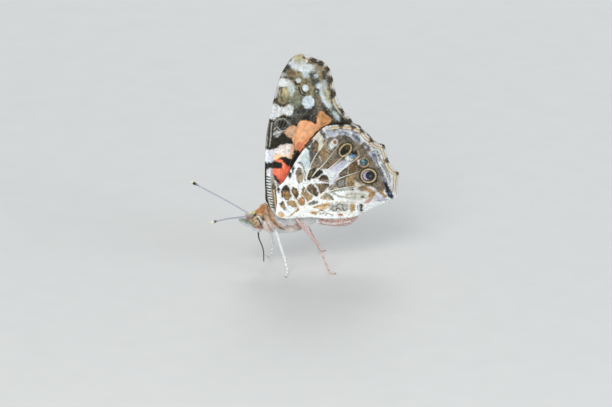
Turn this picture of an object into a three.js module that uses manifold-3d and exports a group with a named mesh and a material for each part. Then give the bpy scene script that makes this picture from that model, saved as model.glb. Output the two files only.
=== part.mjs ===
// A painted lady butterfly at life size, standing on four legs with its wings closed over its back.
// Millimetres, +Z up. The head points to -X and the butterfly's left side faces -Y.
// While it is built, z = 0 is the floor under the feet and y = 0 the plane between the wings.
import * as THREE from 'three';
import { mergeVertices } from 'three/addons/utils/BufferGeometryUtils.js';
import Module from 'manifold-3d';

const { degToRad, lerp, smoothstep } = THREE.MathUtils;
const wasm = await Module();
wasm.setup();

// Driving sizes
const GAP = 0.3;              // clearance between pieces that touch in life
const MEMBRANE = 0.5;         // thickness of a wing between its veins
const VEIN_RISE = 0.18;       // height of a vein over the membrane at the wing's root
const VEIN_TIP_RISE = 0.07;   // and where it ends at the margin
const VEIN_HALF_WIDTH = 0.36; // crest of a vein to the foot of its slope
const LIMB_RADIUS = 0.27;     // half thickness of tibia, tarsus and antenna shaft

// Spacing of the points that carry a wing's surface
const EDGE_STEP = 0.95;
const VEIN_STEP = 1.35;
const FILL_STEP = 1.65;
const EDGE_CLEAR = 0.42;
const VEIN_CLEAR = 0.78;
const VEIN_OWN_CLEAR = 0.3;

// Body stations: x along the body, z of the centre, half height, half width
const THORAX = {
  stations: [
    [-4.45, 10.05, 1.55, 1.3],
    [-4.1, 10.05, 2.1, 1.75],
    [-3.2, 10.0, 2.6, 2.15],
    [-1.6, 9.8, 2.95, 2.45],
    [0.2, 9.65, 3.1, 2.5],
    [2.0, 9.6, 2.95, 2.4],
    [3.8, 9.6, 2.35, 2.0],
    [4.9, 9.6, 1.75, 1.5],
    [5.35, 9.6, 1.3, 1.15],
  ],
  rings: 18,
  sides: 20,
};
const ABDOMEN = {
  stations: [
    [5.35 + GAP, 9.6, 1.2, 1.05],
    [6.4, 9.5, 1.6, 1.45],
    [8.0, 9.35, 1.85, 1.7],
    [9.8, 9.2, 2.0, 1.8],
    [11.6, 9.05, 1.9, 1.7],
    [12.8, 9.05, 1.5, 1.35],
    [13.7, 9.15, 0.9, 0.8],
    [14.1, 9.2, 0.35, 0.35],
  ],
  rings: 24,
  sides: 16,
  segments: 8,
  groove: 0.06,
};
const HEAD = {
  stations: [
    [-4.45 - GAP, 9.95, 1.4, 1.15],
    [-5.1, 9.75, 1.8, 1.5],
    [-5.75, 9.7, 1.85, 1.5],
    [-6.35, 10.1, 1.3, 1.15],
    [-6.8, 10.4, 0.8, 0.85],
    [-7.05, 10.55, 0.45, 0.45],
  ],
  rings: 10,
  sides: 16,
};
const EYE = { centre: [-5.65, 1.28, 9.8], radii: [0.92, 0.66, 1.22], across: 12, around: 16 };

// The wings' own shapes, as x and z in the closed wing's plane.
// costa runs from the root to the apex, margin holds the vein ends and how far the edge bows in
// after each one, inner runs back to the root, and veins start at the root or at the cell.
const FOREWING = {
  costa: [[-2.4, 11.5], [-3.55, 13.2], [-3.95, 17], [-3.9, 22], [-3.7, 26.2], [-3, 30.3], [-1.9, 35],
    [-0.8, 38.6], [0.9, 41.35], [1.8, 42.05], [3, 42.4]],
  margin: [[3, 42.4, -0.1], [5.6, 41.4, 0], [7.1, 40.75, -0.05], [8.5, 39.2, 0], [9.2, 37, 0.05],
    [9.75, 34.2, 0.25], [11.2, 30.65, 0.15], [12.75, 28.65, 0.1], [14.4, 25.5, 0]],
  inner: [[14.4, 25.5], [9.7, 22.3], [4.4, 18], [0.3, 13.9], [-1.5, 11.4], [-2.4, 11.5]],
  veins: [
    [[-2.7, 12.4], [-3.25, 15], [-3.4, 20], [-3.2, 25], [-2.75, 30.6]],
    [[-2.45, 12.4], [-2.6, 14.8], [-2.6, 18.7], [-2.4, 22.7], [-1.9, 26.1]],
    [[-1.9, 26.1], [-1.8, 30.1], [-1.3, 34.1], [-0.8, 37.4]],
    [[-1.9, 26.1], [-1.1, 30.6], [-0.1, 35.6], [1, 40.6]],
    [[-1.9, 26.1], [-0.3, 31], [1.4, 36.5], [3, 42.1]],
    [[-1.3, 26.8], [1.2, 31.9], [3.7, 36.9], [6.4, 40.95]],
    [[-0.1, 26.9], [2.2, 31.2], [5.3, 35.6], [8.55, 38.9]],
    [[1.2, 26], [3.5, 30.1], [6.2, 32.9], [9.7, 34.3]],
    [[1.6, 24.4], [3.7, 28], [6.6, 30.2], [10.5, 31.9]],
    [[1, 21.2], [3.5, 24.9], [7, 27.6], [12.2, 29.2]],
    [[-2.15, 12.2], [-1, 14.7], [0.4, 19.1], [1, 21.2], [1.6, 24.4], [1.2, 26]],
    [[-1.9, 26.1], [-1.3, 26.8], [-0.1, 26.9], [1.2, 26]],
    [[-1.8, 12.1], [0.4, 14.9], [4.7, 19.5], [9.5, 23.2], [14.2, 25.6]],
  ],
};
const HINDWING = {
  costa: [[-2.6, 12], [-2.05, 14], [-1.9, 16.2], [-0.4, 17.8], [0.9, 20.1], [3.4, 23.9], [6, 26.9],
    [7.6, 28.1]],
  margin: [[7.6, 28.1, -0.1], [10.5, 28.2, -0.1], [12.9, 27.75, -0.1], [14.7, 26.8, 0.05], [16.55, 24.8, 0.3],
    [19.15, 23.05, 0.05], [19.9, 20, 0.3], [21.95, 17.25, 0.02], [21.5, 12.5, -0.15], [18.2, 11.05, 0],
    [14.7, 10.05, 0]],
  inner: [[14.7, 10.05], [12.6, 9.75], [8.2, 9.8], [4.6, 10.3], [0.3, 10.8], [-1.8, 11.3], [-2.6, 12]],
  veins: [
    [[2.2, 12], [1.6, 13.9], [0.8, 16], [1.1, 18.6], [2.2, 20.9], [3.9, 23.9], [7, 27.5]],
    [[2.2, 12], [1.75, 13.6], [2.5, 15.2], [3.8, 17.4]],
    [[3.8, 17.4], [4.6, 20.1], [6.4, 23.3], [8.4, 25.9], [10.3, 27.8]],
    [[3.8, 17.4], [7.7, 21.2], [9.7, 23.2], [11.9, 25.1], [14.3, 26.5]],
    [[3.8, 17.4], [6.2, 17.9], [8.8, 20], [12.2, 22.5], [16.2, 24.5]],
    [[3.8, 17.4], [5, 17.1], [8.4, 16.6]],
    [[8.4, 16.6], [9.5, 17.4], [10.4, 19], [12.9, 20.8], [16.2, 22.2], [18.9, 22.9]],
    [[9.5, 17.4], [14.2, 18.9], [19.5, 19.9]],
    [[2.2, 12], [4.1, 13.4], [6.1, 13.8], [7.2, 14.7], [8.4, 16.6]],
    [[7.2, 14.7], [10, 15.2], [16, 16], [21.6, 17.1]],
    [[2.2, 12], [5.5, 12.7], [9.5, 13], [14.5, 12.9], [21.1, 12.7]],
    [[2.6, 11.5], [6, 11.3], [10.1, 10.7], [14.1, 10]],
  ],
};

// How far each wing lies from the middle plane: flat over the back, and spread round the body
const FOREWING_FOLD = 0.6;
const HINDWING_OVERLAP = 1.8;   // where the hindwing covers the forewing
const HINDWING_FOLD = 0.6;      // behind the forewing's inner edge
const HINDWING_FRONT_STEP = 1.18; // outside the forewing at the root
const FOREWING_SPREAD = { top: 16, bottom: 11 };
const HINDWING_SPREAD = {
  frontTop: 16, rearTop: 13.6, frontDepth: 5, rearDepth: 3, rearFrom: -1.5, rearTo: 4.6, fadeFrom: 12, fadeTo: 17.5,
};
const OVERLAP_EDGE = { point: [-1, 11.5], angle: 41, from: 1, to: 6 };

// Limbs: hips as a place along the thorax and an angle below its side, then knee, ankle and foot for
// the right side. reach moves a foot out of mirror symmetry, as a standing insect does.
const LEGS = {
  midleg: {
    hip: { x: -0.2, below: 58 }, knee: [-2.5, 3.5, 8.5], ankle: [-1, 4.15, 3.1],
    heel: [-0.55, 4.7, 0.8], toe: [-0.85, 5.5, 0.2], tip: [-1.1, 6.2, 0.2], reach: { left: 0, right: -1.1 },
  },
  hindleg: {
    hip: { x: 2.6, below: 50 }, knee: [1.3, 4.95, 10.8], ankle: [5.3, 5.7, 5.8],
    heel: [7, 6, 1], toe: [7.6, 6.2, 0.2], tip: [8.35, 6.4, 0.2], reach: { left: 0, right: 0.7 },
  },
};
const FEMUR_RADIUS = 0.34;
const KNEE_LENGTH = 0.85;     // the femur's end past the bend of the knee
const ANKLE_CLEAR = 0.36;
const FOOT_RADIUS = 0.28;
const FORELEG = {
  path: [[-4.45, 2.25, 10.2], [-4.3, 2.5, 9.3], [-3.8, 2.5, 8.45], [-3, 2.25, 7.9]],
  radii: [0.26, 0.42, 0.36, 0.25],
};
const PALP = {
  path: [[-6.95, 0.62, 8.75], [-7.45, 0.66, 9.15], [-8.1, 0.6, 9.6], [-8.75, 0.46, 9.92]],
  radii: [0.34, 0.47, 0.36, 0.16],
};
const ANTENNA = {
  root: { x: -6.5, above: 52 },
  right: [[-9.6, 3.6, 12.05], [-13.2, 7.1, 13.5], [-16.25, 10.1, 14.7]],
  left: [[-9.6, 3.6, 11.8], [-13.2, 7.1, 12.9], [-16.4, 10.1, 13.55]],
  clubFrom: 0.8,
  clubRadius: 0.4,
};
const PROBOSCIS = {
  path: [[-5.15, 0, 7.45], [-5.05, 0, 6], [-4.5, 0, 4.6], [-4.15, 0, 3.2], [-4.1, 0, 1.2]],
  radii: [0.34, 0.27, 0.26, 0.25, 0.18],
};

const COLOURS = {
  thorax: 0xb9a89c, abdomen: 0xc9b3a4, head: 0x8f8474, eye: 0x5d5a45, palp: 0xa39f90, antenna: 0xcfc9cb,
  proboscis: 0x3a2a22, forewing: 0xd68a6a, hindwing: 0xa9927c, leg: 0xd9cbb9, foreleg: 0x8e6f58,
};

const group = new THREE.Group();

// Adds one named piece with its own material.
function place(name, geometry, colour) {
  geometry.computeVertexNormals();
  const material = new THREE.MeshStandardMaterial({ color: colour, roughness: 0.75, metalness: 0 });
  const mesh = new THREE.Mesh(geometry, material);
  mesh.name = name;
  group.add(mesh);
}

function geometryFrom(positions, triangles) {
  const geometry = new THREE.BufferGeometry();
  geometry.setAttribute('position', new THREE.Float32BufferAttribute(positions, 3));
  geometry.setIndex(triangles.flat());
  return geometry;
}

// Reflects a piece in the middle plane and turns its faces out again.
function mirrored(geometry) {
  const copy = geometry.clone();
  copy.scale(1, -1, 1);
  const index = copy.getIndex();
  for (let i = 0; i < index.count; i += 3) {
    const second = index.getX(i + 1);
    index.setX(i + 1, index.getX(i + 2));
    index.setX(i + 2, second);
  }
  return copy;
}

// Closes a stack of rings, each listed round the same way, with a fan at both ends.
function skinRings(rings) {
  const sides = rings[0].length;
  const positions = rings.flat().flatMap((point) => point.toArray());
  const triangles = [];
  for (let ring = 0; ring + 1 < rings.length; ring += 1) {
    for (let side = 0; side < sides; side += 1) {
      const next = (side + 1) % sides;
      const a = ring * sides + side;
      const b = ring * sides + next;
      triangles.push([a, b, b + sides], [a, b + sides, a + sides]);
    }
  }
  const last = (rings.length - 1) * sides;
  const ends = [[0, rings[0], false], [last, rings[rings.length - 1], true]];
  for (const [start, ring, facesOn] of ends) {
    const centre = ring.reduce((sum, point) => sum.add(point), new THREE.Vector3()).divideScalar(sides);
    const hub = positions.length / 3;
    positions.push(...centre.toArray());
    for (let side = 0; side < sides; side += 1) {
      const pair = [start + side, start + (side + 1) % sides];
      triangles.push(facesOn ? [hub, ...pair] : [hub, pair[1], pair[0]]);
    }
  }
  return geometryFrom(positions, triangles);
}

// A body part's centre height, half height and half width at any x, from its stations.
function bodySection(part, share) {
  const axis = new THREE.SplineCurve(part.stations.map(([x, z]) => new THREE.Vector2(x, z)));
  const girth = new THREE.SplineCurve(part.stations.map((row) => new THREE.Vector2(row[2], row[3])));
  const centre = axis.getPoint(share);
  const half = girth.getPoint(share);
  return { x: centre.x, z: centre.y, height: half.x, width: half.y };
}

function bodySectionAt(part, x) {
  const last = part.stations.length - 1;
  const span = Math.abs(part.stations[last][0] - part.stations[0][0]);
  let low = 0;
  let high = 1;
  while (high - low > 1e-4 / span) {
    const middle = (low + high) / 2;
    const passed = Math.abs(bodySection(part, middle).x - part.stations[0][0]);
    if (passed < Math.abs(x - part.stations[0][0])) low = middle;
    else high = middle;
  }
  return bodySection(part, low);
}

// The point on a body part's right side at x, so many degrees above its widest line, lifted off it.
function onBody(part, x, above, lift) {
  const section = bodySectionAt(part, x);
  const turn = degToRad(above);
  const normal = new THREE.Vector3(0, Math.cos(turn) / section.width, Math.sin(turn) / section.height).normalize();
  const point = new THREE.Vector3(x, section.width * Math.cos(turn), section.z + section.height * Math.sin(turn));
  return point.addScaledVector(normal, lift);
}

function bodyGeometry(part, swell = () => 1) {
  const rings = [];
  const towardHead = part.stations[0][0] > part.stations[1][0];
  for (let ring = 0; ring <= part.rings; ring += 1) {
    const share = ring / part.rings;
    const section = bodySection(part, share);
    const scale = swell(share);
    rings.push(Array.from({ length: part.sides }, (_, side) => {
      const turn = (towardHead ? -1 : 1) * (side / part.sides) * 2 * Math.PI;
      return new THREE.Vector3(
        section.x,
        section.width * scale * Math.cos(turn),
        section.z + section.height * scale * Math.sin(turn),
      );
    }));
  }
  return skinRings(rings);
}

// A round limb along a smooth path, its radius eased between the values given along it.
function limbGeometry(path, radii, steps, sides = 8, squash = 1) {
  const curve = path.length > 2 ? new THREE.CatmullRomCurve3(path, false, 'centripetal') : new THREE.LineCurve3(...path);
  const frames = curve.computeFrenetFrames(steps, false);
  const girth = new THREE.SplineCurve(radii.map((radius, i) => new THREE.Vector2(i, radius)));
  const rings = [];
  for (let step = 0; step <= steps; step += 1) {
    const centre = curve.getPointAt(step / steps);
    const radius = girth.getPoint(step / steps).y;
    rings.push(Array.from({ length: sides }, (_, side) => {
      const turn = ((side + 0.5) / sides) * 2 * Math.PI;
      return centre.clone()
        .addScaledVector(frames.normals[step], radius * Math.cos(turn))
        .addScaledVector(frames.binormals[step], radius * squash * Math.sin(turn));
    }));
  }
  return skinRings(rings);
}

const vectors = (rows) => rows.map((row) => new THREE.Vector3(...row));

// Turns a closed mesh into a solid and back for cuts.
function toSolid(geometry) {
  const bare = geometry.clone();
  bare.deleteAttribute('normal');
  bare.deleteAttribute('uv');
  const merged = mergeVertices(bare, 1e-4);
  return new wasm.Manifold(new wasm.Mesh({
    numProp: 3,
    vertProperties: Float32Array.from(merged.getAttribute('position').array),
    triVerts: Uint32Array.from(merged.getIndex().array),
  }));
}

function fromSolid(solid) {
  const mesh = solid.getMesh();
  const geometry = new THREE.BufferGeometry();
  geometry.setAttribute('position', new THREE.BufferAttribute(Float32Array.from(mesh.vertProperties), 3));
  geometry.setIndex(new THREE.BufferAttribute(Uint32Array.from(mesh.triVerts), 1));
  return geometry;
}

// Head, with a socket cut round each eye
function eyeGeometry(extra, sideOfHead) {
  const geometry = new THREE.SphereGeometry(1, EYE.around, EYE.across);
  geometry.scale(...EYE.radii.map((radius) => radius + extra));
  geometry.translate(EYE.centre[0], sideOfHead * EYE.centre[1], EYE.centre[2]);
  return geometry;
}

function headGeometry() {
  const sockets = [1, -1].map((sideOfHead) => toSolid(eyeGeometry(GAP, sideOfHead)));
  return fromSolid(toSolid(bodyGeometry(HEAD)).subtract(sockets[0]).subtract(sockets[1]));
}

// Wings: lateral lie
function forewingSide(x, z) {
  const root = onBody(THORAX, FOREWING.inner[4][0], 32, GAP + MEMBRANE / 2 + VEIN_RISE).y;
  return lerp(FOREWING_FOLD, root, smoothstep(-z, -FOREWING_SPREAD.top, -FOREWING_SPREAD.bottom));
}

function hindwingSide(x, z) {
  const { point, angle, from, to } = OVERLAP_EDGE;
  const turn = degToRad(angle);
  const past = (x - point[0]) * Math.sin(turn) - (z - point[1]) * Math.cos(turn);
  const sheet = lerp(HINDWING_OVERLAP, HINDWING_FOLD, smoothstep(past, from, to));
  const front = forewingSide(x, FOREWING_SPREAD.bottom) + HINDWING_FRONT_STEP;
  const rear = ABDOMEN.stations[3][3] + GAP + MEMBRANE / 2 + VEIN_RISE / 2;
  const along = smoothstep(x, -1, 6);
  const spread = HINDWING_SPREAD;
  const top = lerp(spread.frontTop, spread.rearTop, along);
  const depth = lerp(spread.frontDepth, spread.rearDepth, along);
  const drape = smoothstep(top - z, 0, depth) * (1 - smoothstep(x, spread.fadeFrom, spread.fadeTo));
  const spreadHere = lerp(front, rear, smoothstep(x, spread.rearFrom, spread.rearTo));
  return lerp(sheet, spreadHere, drape);
}

// Wings: outline, sample points and surface
function splinePoints(controls, step) {
  const curve = new THREE.SplineCurve(controls.map(([x, z]) => new THREE.Vector2(x, z)));
  return curve.getSpacedPoints(Math.max(2, Math.round(curve.getLength() / step)));
}

function wingOutline(wing) {
  const outline = splinePoints(wing.costa, EDGE_STEP).slice(0, -1);
  for (let i = 0; i + 1 < wing.margin.length; i += 1) {
    const [x, z, bow] = wing.margin[i];
    const start = new THREE.Vector2(x, z);
    const end = new THREE.Vector2(wing.margin[i + 1][0], wing.margin[i + 1][1]);
    const along = end.clone().sub(start);
    const inward = new THREE.Vector2(along.y, -along.x).normalize();
    const steps = Math.max(4, Math.round(along.length() / EDGE_STEP));
    for (let step = 0; step < steps; step += 1) {
      const share = step / steps;
      const point = start.clone().addScaledVector(along, share);
      outline.push(point.addScaledVector(inward, bow * Math.sin(Math.PI * share)));
    }
  }
  outline.push(...splinePoints(wing.inner, EDGE_STEP).slice(0, -1));
  return outline;
}

function isInside(outline, point) {
  let inside = false;
  for (let i = 0, j = outline.length - 1; i < outline.length; j = i, i += 1) {
    const a = outline[i];
    const b = outline[j];
    const crosses = (a.y > point.y) !== (b.y > point.y);
    if (crosses && point.x < a.x + ((b.x - a.x) * (point.y - a.y)) / (b.y - a.y)) inside = !inside;
  }
  return inside;
}

// Points over a wing: its outline, the crest and both feet of every vein, and an even fill.
function wingPoints(wing) {
  const outline = wingOutline(wing);
  const samples = outline.map((point) => ({ point, rise: 0 }));
  const isClear = (point, list, distance) => list.every((other) => other.point.distanceTo(point) > distance);
  const edge = [...samples];
  const add = (point, rise, list, distance) => {
    if (!isInside(outline, point) || !isClear(point, edge, EDGE_CLEAR) || !isClear(point, list, distance)) return;
    samples.push({ point, rise });
  };
  const crests = wing.veins.map((vein) => splinePoints(vein, VEIN_STEP));
  for (const crest of crests) {
    crest.forEach((point, i) => {
      add(point, lerp(VEIN_RISE, VEIN_TIP_RISE, i / (crest.length - 1)), samples, VEIN_OWN_CLEAR);
    });
  }
  for (const crest of crests) {
    crest.forEach((point, i) => {
      const before = crest[Math.max(0, i - 1)];
      const after = crest[Math.min(crest.length - 1, i + 1)];
      const across = new THREE.Vector2(after.y - before.y, before.x - after.x).normalize();
      for (const way of [VEIN_HALF_WIDTH, -VEIN_HALF_WIDTH]) {
        add(point.clone().addScaledVector(across, way), 0, samples, VEIN_OWN_CLEAR);
      }
    });
  }
  const box = new THREE.Box2().setFromPoints(outline);
  const rowHeight = FILL_STEP * Math.sqrt(3 / 4);
  let row = 0;
  for (let z = box.min.y; z < box.max.y; z += rowHeight) {
    row += 1;
    for (let x = box.min.x + (row % 2) * FILL_STEP / 2; x < box.max.x; x += FILL_STEP) {
      add(new THREE.Vector2(x, z), 0, samples, VEIN_CLEAR);
    }
  }
  return { outline, samples };
}

// Delaunay triangles of the points, found by adding them one at a time.
function delaunay(points) {
  const far = 1000;
  const all = [...points, new THREE.Vector2(-far, -far), new THREE.Vector2(far, -far), new THREE.Vector2(0, far)];
  const circled = (a, b, c) => {
    const [p, q, r] = [all[a], all[b], all[c]];
    const double = 2 * (p.x * (q.y - r.y) + q.x * (r.y - p.y) + r.x * (p.y - q.y));
    const [pp, qq, rr] = [p.lengthSq(), q.lengthSq(), r.lengthSq()];
    const centre = new THREE.Vector2(
      (pp * (q.y - r.y) + qq * (r.y - p.y) + rr * (p.y - q.y)) / double,
      (pp * (r.x - q.x) + qq * (p.x - r.x) + rr * (q.x - p.x)) / double,
    );
    return { corners: double > 0 ? [a, b, c] : [a, c, b], centre, reach: centre.distanceToSquared(p) };
  };
  let triangles = [circled(points.length, points.length + 1, points.length + 2)];
  points.forEach((point, index) => {
    const rim = new Map();
    const kept = [];
    for (const triangle of triangles) {
      if (point.distanceToSquared(triangle.centre) >= triangle.reach) {
        kept.push(triangle);
        continue;
      }
      triangle.corners.forEach((a, i) => {
        const b = triangle.corners[(i + 1) % 3];
        const key = a < b ? `${a}_${b}` : `${b}_${a}`;
        if (rim.has(key)) rim.delete(key);
        else rim.set(key, [a, b]);
      });
    }
    triangles = [...kept, ...[...rim.values()].map(([a, b]) => circled(a, b, index))];
  });
  return triangles.map(({ corners }) => corners).filter((corners) => corners.every((i) => i < points.length));
}

// One closed wing on the right side, with the same triangles on both faces and its veins raised.
function wingGeometry(wing, lateral) {
  const { outline, samples } = wingPoints(wing);
  const jitter = 1e-5;
  const plan = samples.map(({ point }, i) => new THREE.Vector2(
    point.x + jitter * Math.sin(i * 12.9),
    point.y + jitter * Math.sin(i * 78.2),
  ));
  const faces = delaunay(plan).filter(([a, b, c]) => {
    const middle = plan[a].clone().add(plan[b]).add(plan[c]).divideScalar(3);
    return isInside(outline, middle);
  });
  const positions = [];
  for (const face of [-1, 1]) {
    samples.forEach(({ point, rise }) => {
      const step = 0.05;
      const slopeX = (lateral(point.x + step, point.y) - lateral(point.x - step, point.y)) / (2 * step);
      const slopeZ = (lateral(point.x, point.y + step) - lateral(point.x, point.y - step)) / (2 * step);
      const half = (MEMBRANE / 2 + rise) * Math.hypot(1, slopeX, slopeZ);
      positions.push(point.x, lateral(point.x, point.y) + face * half, point.y);
    });
  }
  const count = samples.length;
  const used = new Set(faces.flatMap(([a, b, c]) => [`${a}_${b}`, `${b}_${c}`, `${c}_${a}`]));
  const triangles = [];
  for (const [a, b, c] of faces) {
    triangles.push([a, b, c], [a + count, c + count, b + count]);
    for (const [p, q] of [[a, b], [b, c], [c, a]]) {
      if (used.has(`${q}_${p}`)) continue;
      triangles.push([q, p, p + count], [q, p + count, q + count]);
    }
  }
  return geometryFrom(positions, triangles);
}

// Legs
function shortened(from, to, startClear, endClear) {
  const along = to.clone().sub(from).normalize();
  return [from.clone().addScaledVector(along, startClear), to.clone().addScaledVector(along, -endClear)];
}

function addLeg(name, leg, side) {
  const sideSign = side === 'left' ? -1 : 1;
  const reach = leg.reach[side];
  const hip = onBody(THORAX, leg.hip.x, -leg.hip.below, GAP + FEMUR_RADIUS);
  const [knee, ankle, heel, toe, tip] = vectors([leg.knee, leg.ankle, leg.heel, leg.toe, leg.tip]);
  ankle.x += reach / 2;
  heel.x += reach;
  toe.x += reach;
  tip.x += reach;
  const [kneeEnd] = shortened(knee, ankle, KNEE_LENGTH, 0);
  const femur = limbGeometry([hip, knee, kneeEnd], [0.3, FEMUR_RADIUS, 0.3, 0.27, LIMB_RADIUS], 8);
  const tibia = limbGeometry(shortened(knee, ankle, KNEE_LENGTH + GAP, 0), [LIMB_RADIUS, LIMB_RADIUS], 4);
  const [start] = shortened(ankle, heel, ANKLE_CLEAR, 0);
  const tarsus = limbGeometry([start, heel, toe, tip], [LIMB_RADIUS, 0.26, FOOT_RADIUS, FOOT_RADIUS], 9);
  const foot = tarsus.getAttribute('position');
  for (let i = 0; i < foot.count; i += 1) foot.setZ(i, Math.max(0, foot.getZ(i)));
  for (const [part, geometry] of [['femur', femur], ['tibia', tibia], ['tarsus', tarsus]]) {
    place(`${name}_${part}_${side}`, sideSign > 0 ? geometry : mirrored(geometry), COLOURS.leg);
  }
}

// Antennae: an even shaft that swells into a club and closes in a blunt tip
function antennaGeometry(path) {
  const root = onBody(HEAD, ANTENNA.root.x, ANTENNA.root.above, GAP + LIMB_RADIUS * 0.75);
  const steps = 20;
  const radii = Array.from({ length: steps + 1 }, (_, i) => {
    const swell = smoothstep(i / steps, ANTENNA.clubFrom, 0.93);
    const close = smoothstep(i / steps, 0.93, 1);
    return lerp(lerp(LIMB_RADIUS, ANTENNA.clubRadius, swell), 0.16, close);
  });
  return limbGeometry([root, ...vectors(path)], radii, steps);
}

place('thorax', bodyGeometry(THORAX), COLOURS.thorax);
const grooves = (share) => 1 - ABDOMEN.groove * Math.abs(Math.cos(Math.PI * share * ABDOMEN.segments)) ** 6;
place('abdomen', bodyGeometry(ABDOMEN, grooves), COLOURS.abdomen);
place('head', headGeometry(), COLOURS.head);

for (const side of ['left', 'right']) {
  const sided = (geometry) => (side === 'left' ? mirrored(geometry) : geometry);
  place(`eye_${side}`, sided(eyeGeometry(0, 1)), COLOURS.eye);
  place(`palp_${side}`, sided(limbGeometry(vectors(PALP.path), PALP.radii, 8)), COLOURS.palp);
  place(`antenna_${side}`, sided(antennaGeometry(ANTENNA[side])), COLOURS.antenna);
  place(`forewing_${side}`, sided(wingGeometry(FOREWING, forewingSide)), COLOURS.forewing);
  place(`hindwing_${side}`, sided(wingGeometry(HINDWING, hindwingSide)), COLOURS.hindwing);
  place(`foreleg_${side}`, sided(limbGeometry(vectors(FORELEG.path), FORELEG.radii, 7)), COLOURS.foreleg);
  for (const [name, leg] of Object.entries(LEGS)) addLeg(name, leg, side);
}
place('proboscis', limbGeometry(vectors(PROBOSCIS.path), PROBOSCIS.radii, 10), COLOURS.proboscis);

// The origin goes to the middle of the base of the whole butterfly's box.
const box = new THREE.Box3().setFromObject(group);
const centre = box.getCenter(new THREE.Vector3());
group.position.set(-centre.x, -centre.y, -box.min.z);

export default group;
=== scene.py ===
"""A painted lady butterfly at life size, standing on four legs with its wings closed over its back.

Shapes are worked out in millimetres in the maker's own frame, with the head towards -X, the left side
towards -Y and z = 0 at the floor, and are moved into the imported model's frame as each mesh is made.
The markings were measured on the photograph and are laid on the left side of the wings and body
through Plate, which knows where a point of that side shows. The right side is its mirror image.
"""
import logging
import math
from dataclasses import dataclass, field
from enum import Enum, IntEnum
from typing import Callable, Optional, Sequence, Union

import bpy
import numpy as np
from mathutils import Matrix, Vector
from mathutils.geometry import delaunay_2d_cdt


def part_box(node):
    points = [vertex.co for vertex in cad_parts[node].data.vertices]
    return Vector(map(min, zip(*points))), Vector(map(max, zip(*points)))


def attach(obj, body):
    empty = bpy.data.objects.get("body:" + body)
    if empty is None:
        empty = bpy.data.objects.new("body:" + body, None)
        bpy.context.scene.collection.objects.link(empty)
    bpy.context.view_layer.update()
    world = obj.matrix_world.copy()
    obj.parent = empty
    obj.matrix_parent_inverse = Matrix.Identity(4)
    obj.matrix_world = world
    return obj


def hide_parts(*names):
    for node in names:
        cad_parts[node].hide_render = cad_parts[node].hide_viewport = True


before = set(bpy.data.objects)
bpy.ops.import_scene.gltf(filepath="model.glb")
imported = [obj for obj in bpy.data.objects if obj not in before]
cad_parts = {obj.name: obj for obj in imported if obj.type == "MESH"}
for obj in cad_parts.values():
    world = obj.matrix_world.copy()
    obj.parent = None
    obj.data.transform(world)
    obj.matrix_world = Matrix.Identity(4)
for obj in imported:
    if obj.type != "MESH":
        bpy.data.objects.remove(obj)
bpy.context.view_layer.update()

MM = 0.001
# The left eye's centre in the maker's frame: the node that the two frames are matched by
LEFT_EYE_CENTRE = np.array((-5.65, -1.28, 9.8))
# What the margin's points off the wing's outer edge have as their distance from a vein end
OFF_MARGIN = 99.0

Points = np.ndarray
Pair = tuple[float, float]
Triple = tuple[float, float, float]
Path = tuple[Pair, ...]
log = logging.getLogger("painted_lady")


def frame_shift() -> Points:
    """Returns the step in millimetres from the maker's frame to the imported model's."""
    low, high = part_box("eye_left")
    return (np.array(low) + np.array(high)) / (2 * MM) - LEFT_EYE_CENTRE


SHIFT = frame_shift()


class Side(Enum):
    """A side of the butterfly, with the sign of y there."""

    LEFT = -1
    RIGHT = 1

    @property
    def word(self) -> str:
        """The side as it stands in node names."""
        return self.name.lower()


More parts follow.
